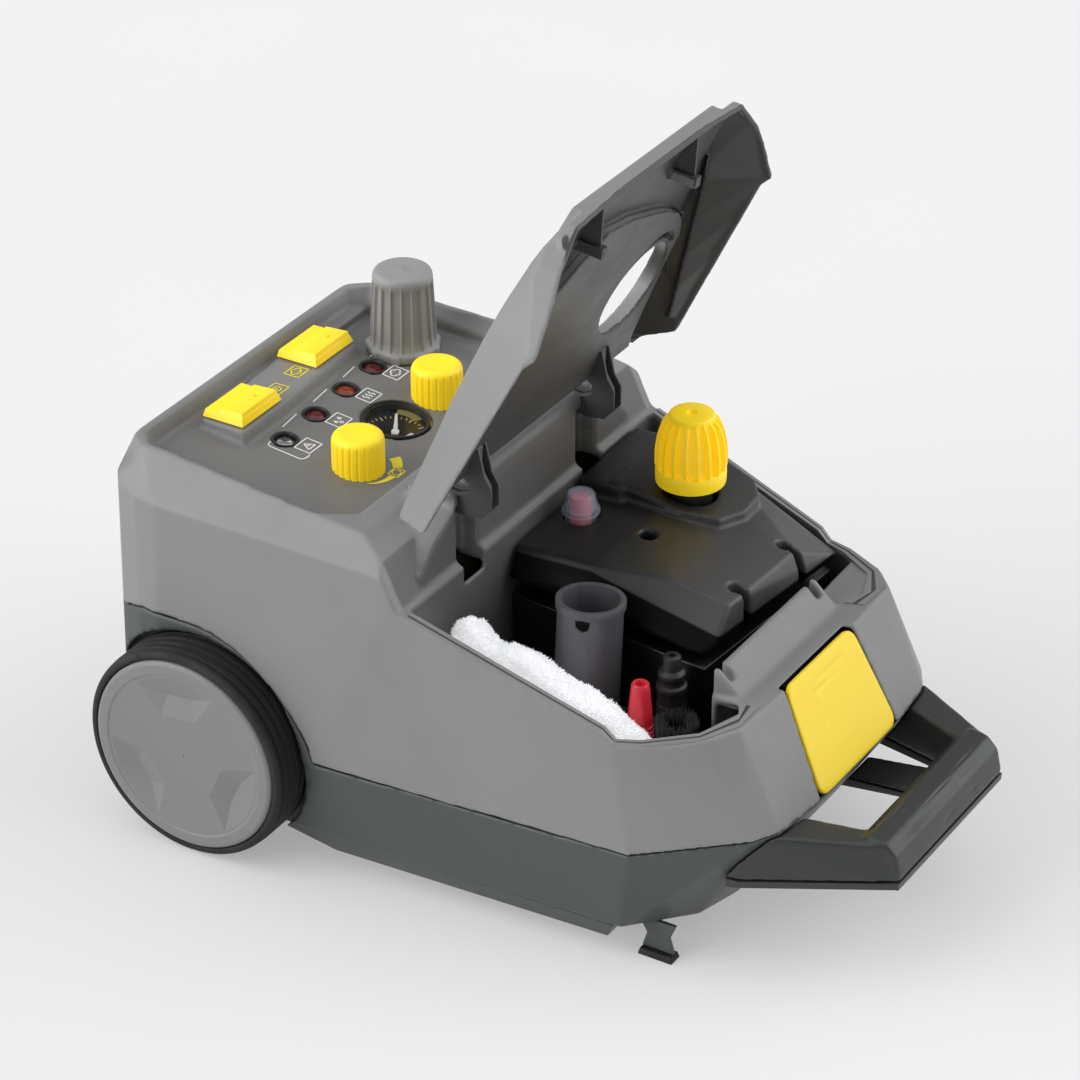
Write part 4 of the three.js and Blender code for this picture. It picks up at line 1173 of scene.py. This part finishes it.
def brush():
    """A round brush: a plain handle, a collar and rings of bristles."""
    generator = random.Random(3)
    at = centre("round_brush")
    profile = [(0, 56), (6.5, 55.4), (7, 56.4), (7, 92), (8, 94), (11.6, 98), (12.2, 100), (12.2, 108),
               (11.4, 109.4), (6.2, 109.6), (6, 104), (0, 104)]
    data = turned(profile, (at[0], at[1], 0), 64, 45)
    finish_piece("round_brush_body", data, BLACK, "round_brush", ["round_brush"])
    verts, faces = [], []
    for _ in range(1500):
        reach = 6.4 + 5.2 * math.sqrt(generator.random())
        angle = generator.uniform(0, 2 * math.pi)
        splay = generator.gauss(0.02, 0.05)
        drift = generator.gauss(0, 0.06)
        top = generator.uniform(130, 136.4)
        foot = Vector((at[0] + reach * math.cos(angle), at[1] + reach * math.sin(angle), 108))
        lean = angle + drift * 9
        tilt = Vector((math.cos(lean) * splay, math.sin(lean) * splay, 1)) * (top - 108)
        tip_reach = math.hypot(foot.x + tilt.x - at[0], foot.y + tilt.y - at[1])
        if tip_reach > 12.5 or tip_reach < 5.2:
            continue
        start = len(verts)
        for k in range(3):
            turn = 2 * math.pi * k / 3
            off = Vector((math.cos(turn), math.sin(turn), 0)) * 0.24
            tip = foot + tilt + off * 0.6 + Vector((drift * 5, splay * 4, 0))
            verts += [metres(*v) for v in (foot + off, foot + tilt * 0.6 + off * 0.95, tip)]
        for k in range(3):
            j = (k + 1) % 3
            for level in (0, 1):
                a, b = start + 3 * k + level, start + 3 * j + level
                faces.append([a, b, b + 1, a + 1])
        faces.append([start + 2, start + 5, start + 8])
    finish_piece("round_brush_bristles", mesh_of(verts, faces), BRISTLE, "round_brush")


# ---------- the latch pad and the handle ----------
def rounded(corners, radius, steps=7):
    """An outline with its corners rounded."""
    made = []
    count = len(corners)
    for i in range(count):
        before, here, after = (Vector(corners[(i + k) % count]) for k in (-1, 0, 1))
        start = here + (before - here).normalized() * radius
        stop = here + (after - here).normalized() * radius
        for k in range(steps + 1):
            t = k / steps
            made.append(start * (1 - t) ** 2 + here * 2 * t * (1 - t) + stop * t * t)
    return made


def latch_pad():
    """A crowned pad with rounded corners, a soft edge and three shallow finger grooves."""
    foot, normal, along = [Vector(v) for v in ((0, -347.5, 92.2), (0, -0.897, 0.441), (0, 0.441, 0.897))]
    outline = rounded([(-44.9, 0.4), (44.9, 0.4), (38.0, 65.2), (-38.0, 65.2)], 9)
    middle = Vector((0, 32))
    rings = [(1.0, -3.6), (1.0, -1.0), (1.0, 0.4), (0.985, 1.0), (0.955, 1.3)]
    rings += [(0.9 - 0.9 * i / 22, 1.4 + 0.25 * (i / 22)) for i in range(22)]
    made = []
    for scale, lift in rings:
        ring = []
        for p in outline:
            q = middle + (p - middle) * scale
            height = lift
            for groove in (-17, 2, 21):
                inside = smoothstep(58.5, 55.5, q.y) * smoothstep(36, 39, q.y)
                height -= 0.75 * inside * math.exp(-((q.x - groove) / 0.95) ** 2) * (1 if lift > 1.2 else 0)
            ring.append((q.x, *(foot + normal * height + along * q.y)[1:]))
        made.append(ring)
    work = loose("work", loft(made))
    finer = work.modifiers.new("finer", "SUBSURF")
    finer.levels = 2
    data = evaluated(work)
    pad = finish_piece("latch_pad_crowned", data, PAD_YELLOW, "latch", ["latch_pad"])
    # The pad's back faces take the grey painted as shade.
    pad.data.materials.append(UNDERSIDE_SHADE)
    for polygon in pad.data.polygons:
        polygon.material_index = 1 if polygon.normal.dot(normal) < -0.5 else 0


def grooved(obj, test, depth):
    """Sinks the surface by depth, times what test(point in millimetres) says."""
    for vert in obj.data.vertices:
        at = vert.co * 1000
        amount = test((at.x, at.y - AXLE_Y, at.z))
        if amount:
            vert.co -= vert.normal * (depth * amount / 1000)


def grip_lines(at):
    """Three shallow lines round the handle's grip."""
    if at[1] > -374:
        return 0
    return max(math.exp(-((at[0] - x) / 0.8) ** 2) for x in (-31, 0, 31))


tufted_cloth()
red_nozzle()
brush()
latch_pad()
grooved(handle, grip_lines, 1.0)

for side in ("left", "right"):
    hub_cap(side)
    tyre(side)
knob("steam_knob")
knob("suction_knob")
safety_cap()
rear_cap()
for i, lens in enumerate((LENS_CLEAR, LENS_RED, LENS_AMBER, LENS_RED), 1):
    lamp(f"lamp_{i}", lens)
panel_print()
gauge_dial()

# Pieces that keep their CAD shape: the width of their rounded edges in millimetres, and their material.
SIMPLE = {
    "bottom_pan": (1.2, BASE), "handle_under_strip": (1.0, HANDLE), "axle": (0.6, STEEL),
    "water_tank": (3.0, GLOSS), "filler_neck": (0.4, BLACK), "reset_dome": (0.3, DOME_CLEAR),
    "reset_button": (0.4, RED), "storage_tray": (1.0, BASE), "extension_tube": (0.5, DARK_GREY),
    "steam_nozzle": (0.3, BLACK), "power_rocker": (0.8, YELLOW), "vapour_rocker": (0.8, YELLOW),
    "gauge_body": (0.3, BLACK), "gauge_needle": (0.2, WHITE), "rear_neck": (0.4, BLACK),
    "fresh_water_tank": (1.5, WHITE), "boiler": (2.0, ALUMINIUM), "heating_element": (0.5, BRASS),
    "thermostat": (0.4, BLACK), "pressure_switch": (0.4, BRASS), "pump": (1.5, BLACK),
    "solenoid_valve": (0.8, BRASS), "control_board": (0.2, BOARD), "cable_gland": (0.4, BLACK),
    "steam_socket": (0.5, BLACK),
}
for side in ("left", "right"):
    SIMPLE.update({
        f"hinge_pin_{side}": (0.3, STEEL), f"wheel_hub_{side}": (0.8, BLACK),
        f"axle_clip_{side}": (0.2, STEEL), f"foot_bracket_{side}": (0.8, BASE),
        f"foot_pad_{side}": (0.8, RUBBER),
    })
for node, (width, material) in SIMPLE.items():
    edged(node, width, material)
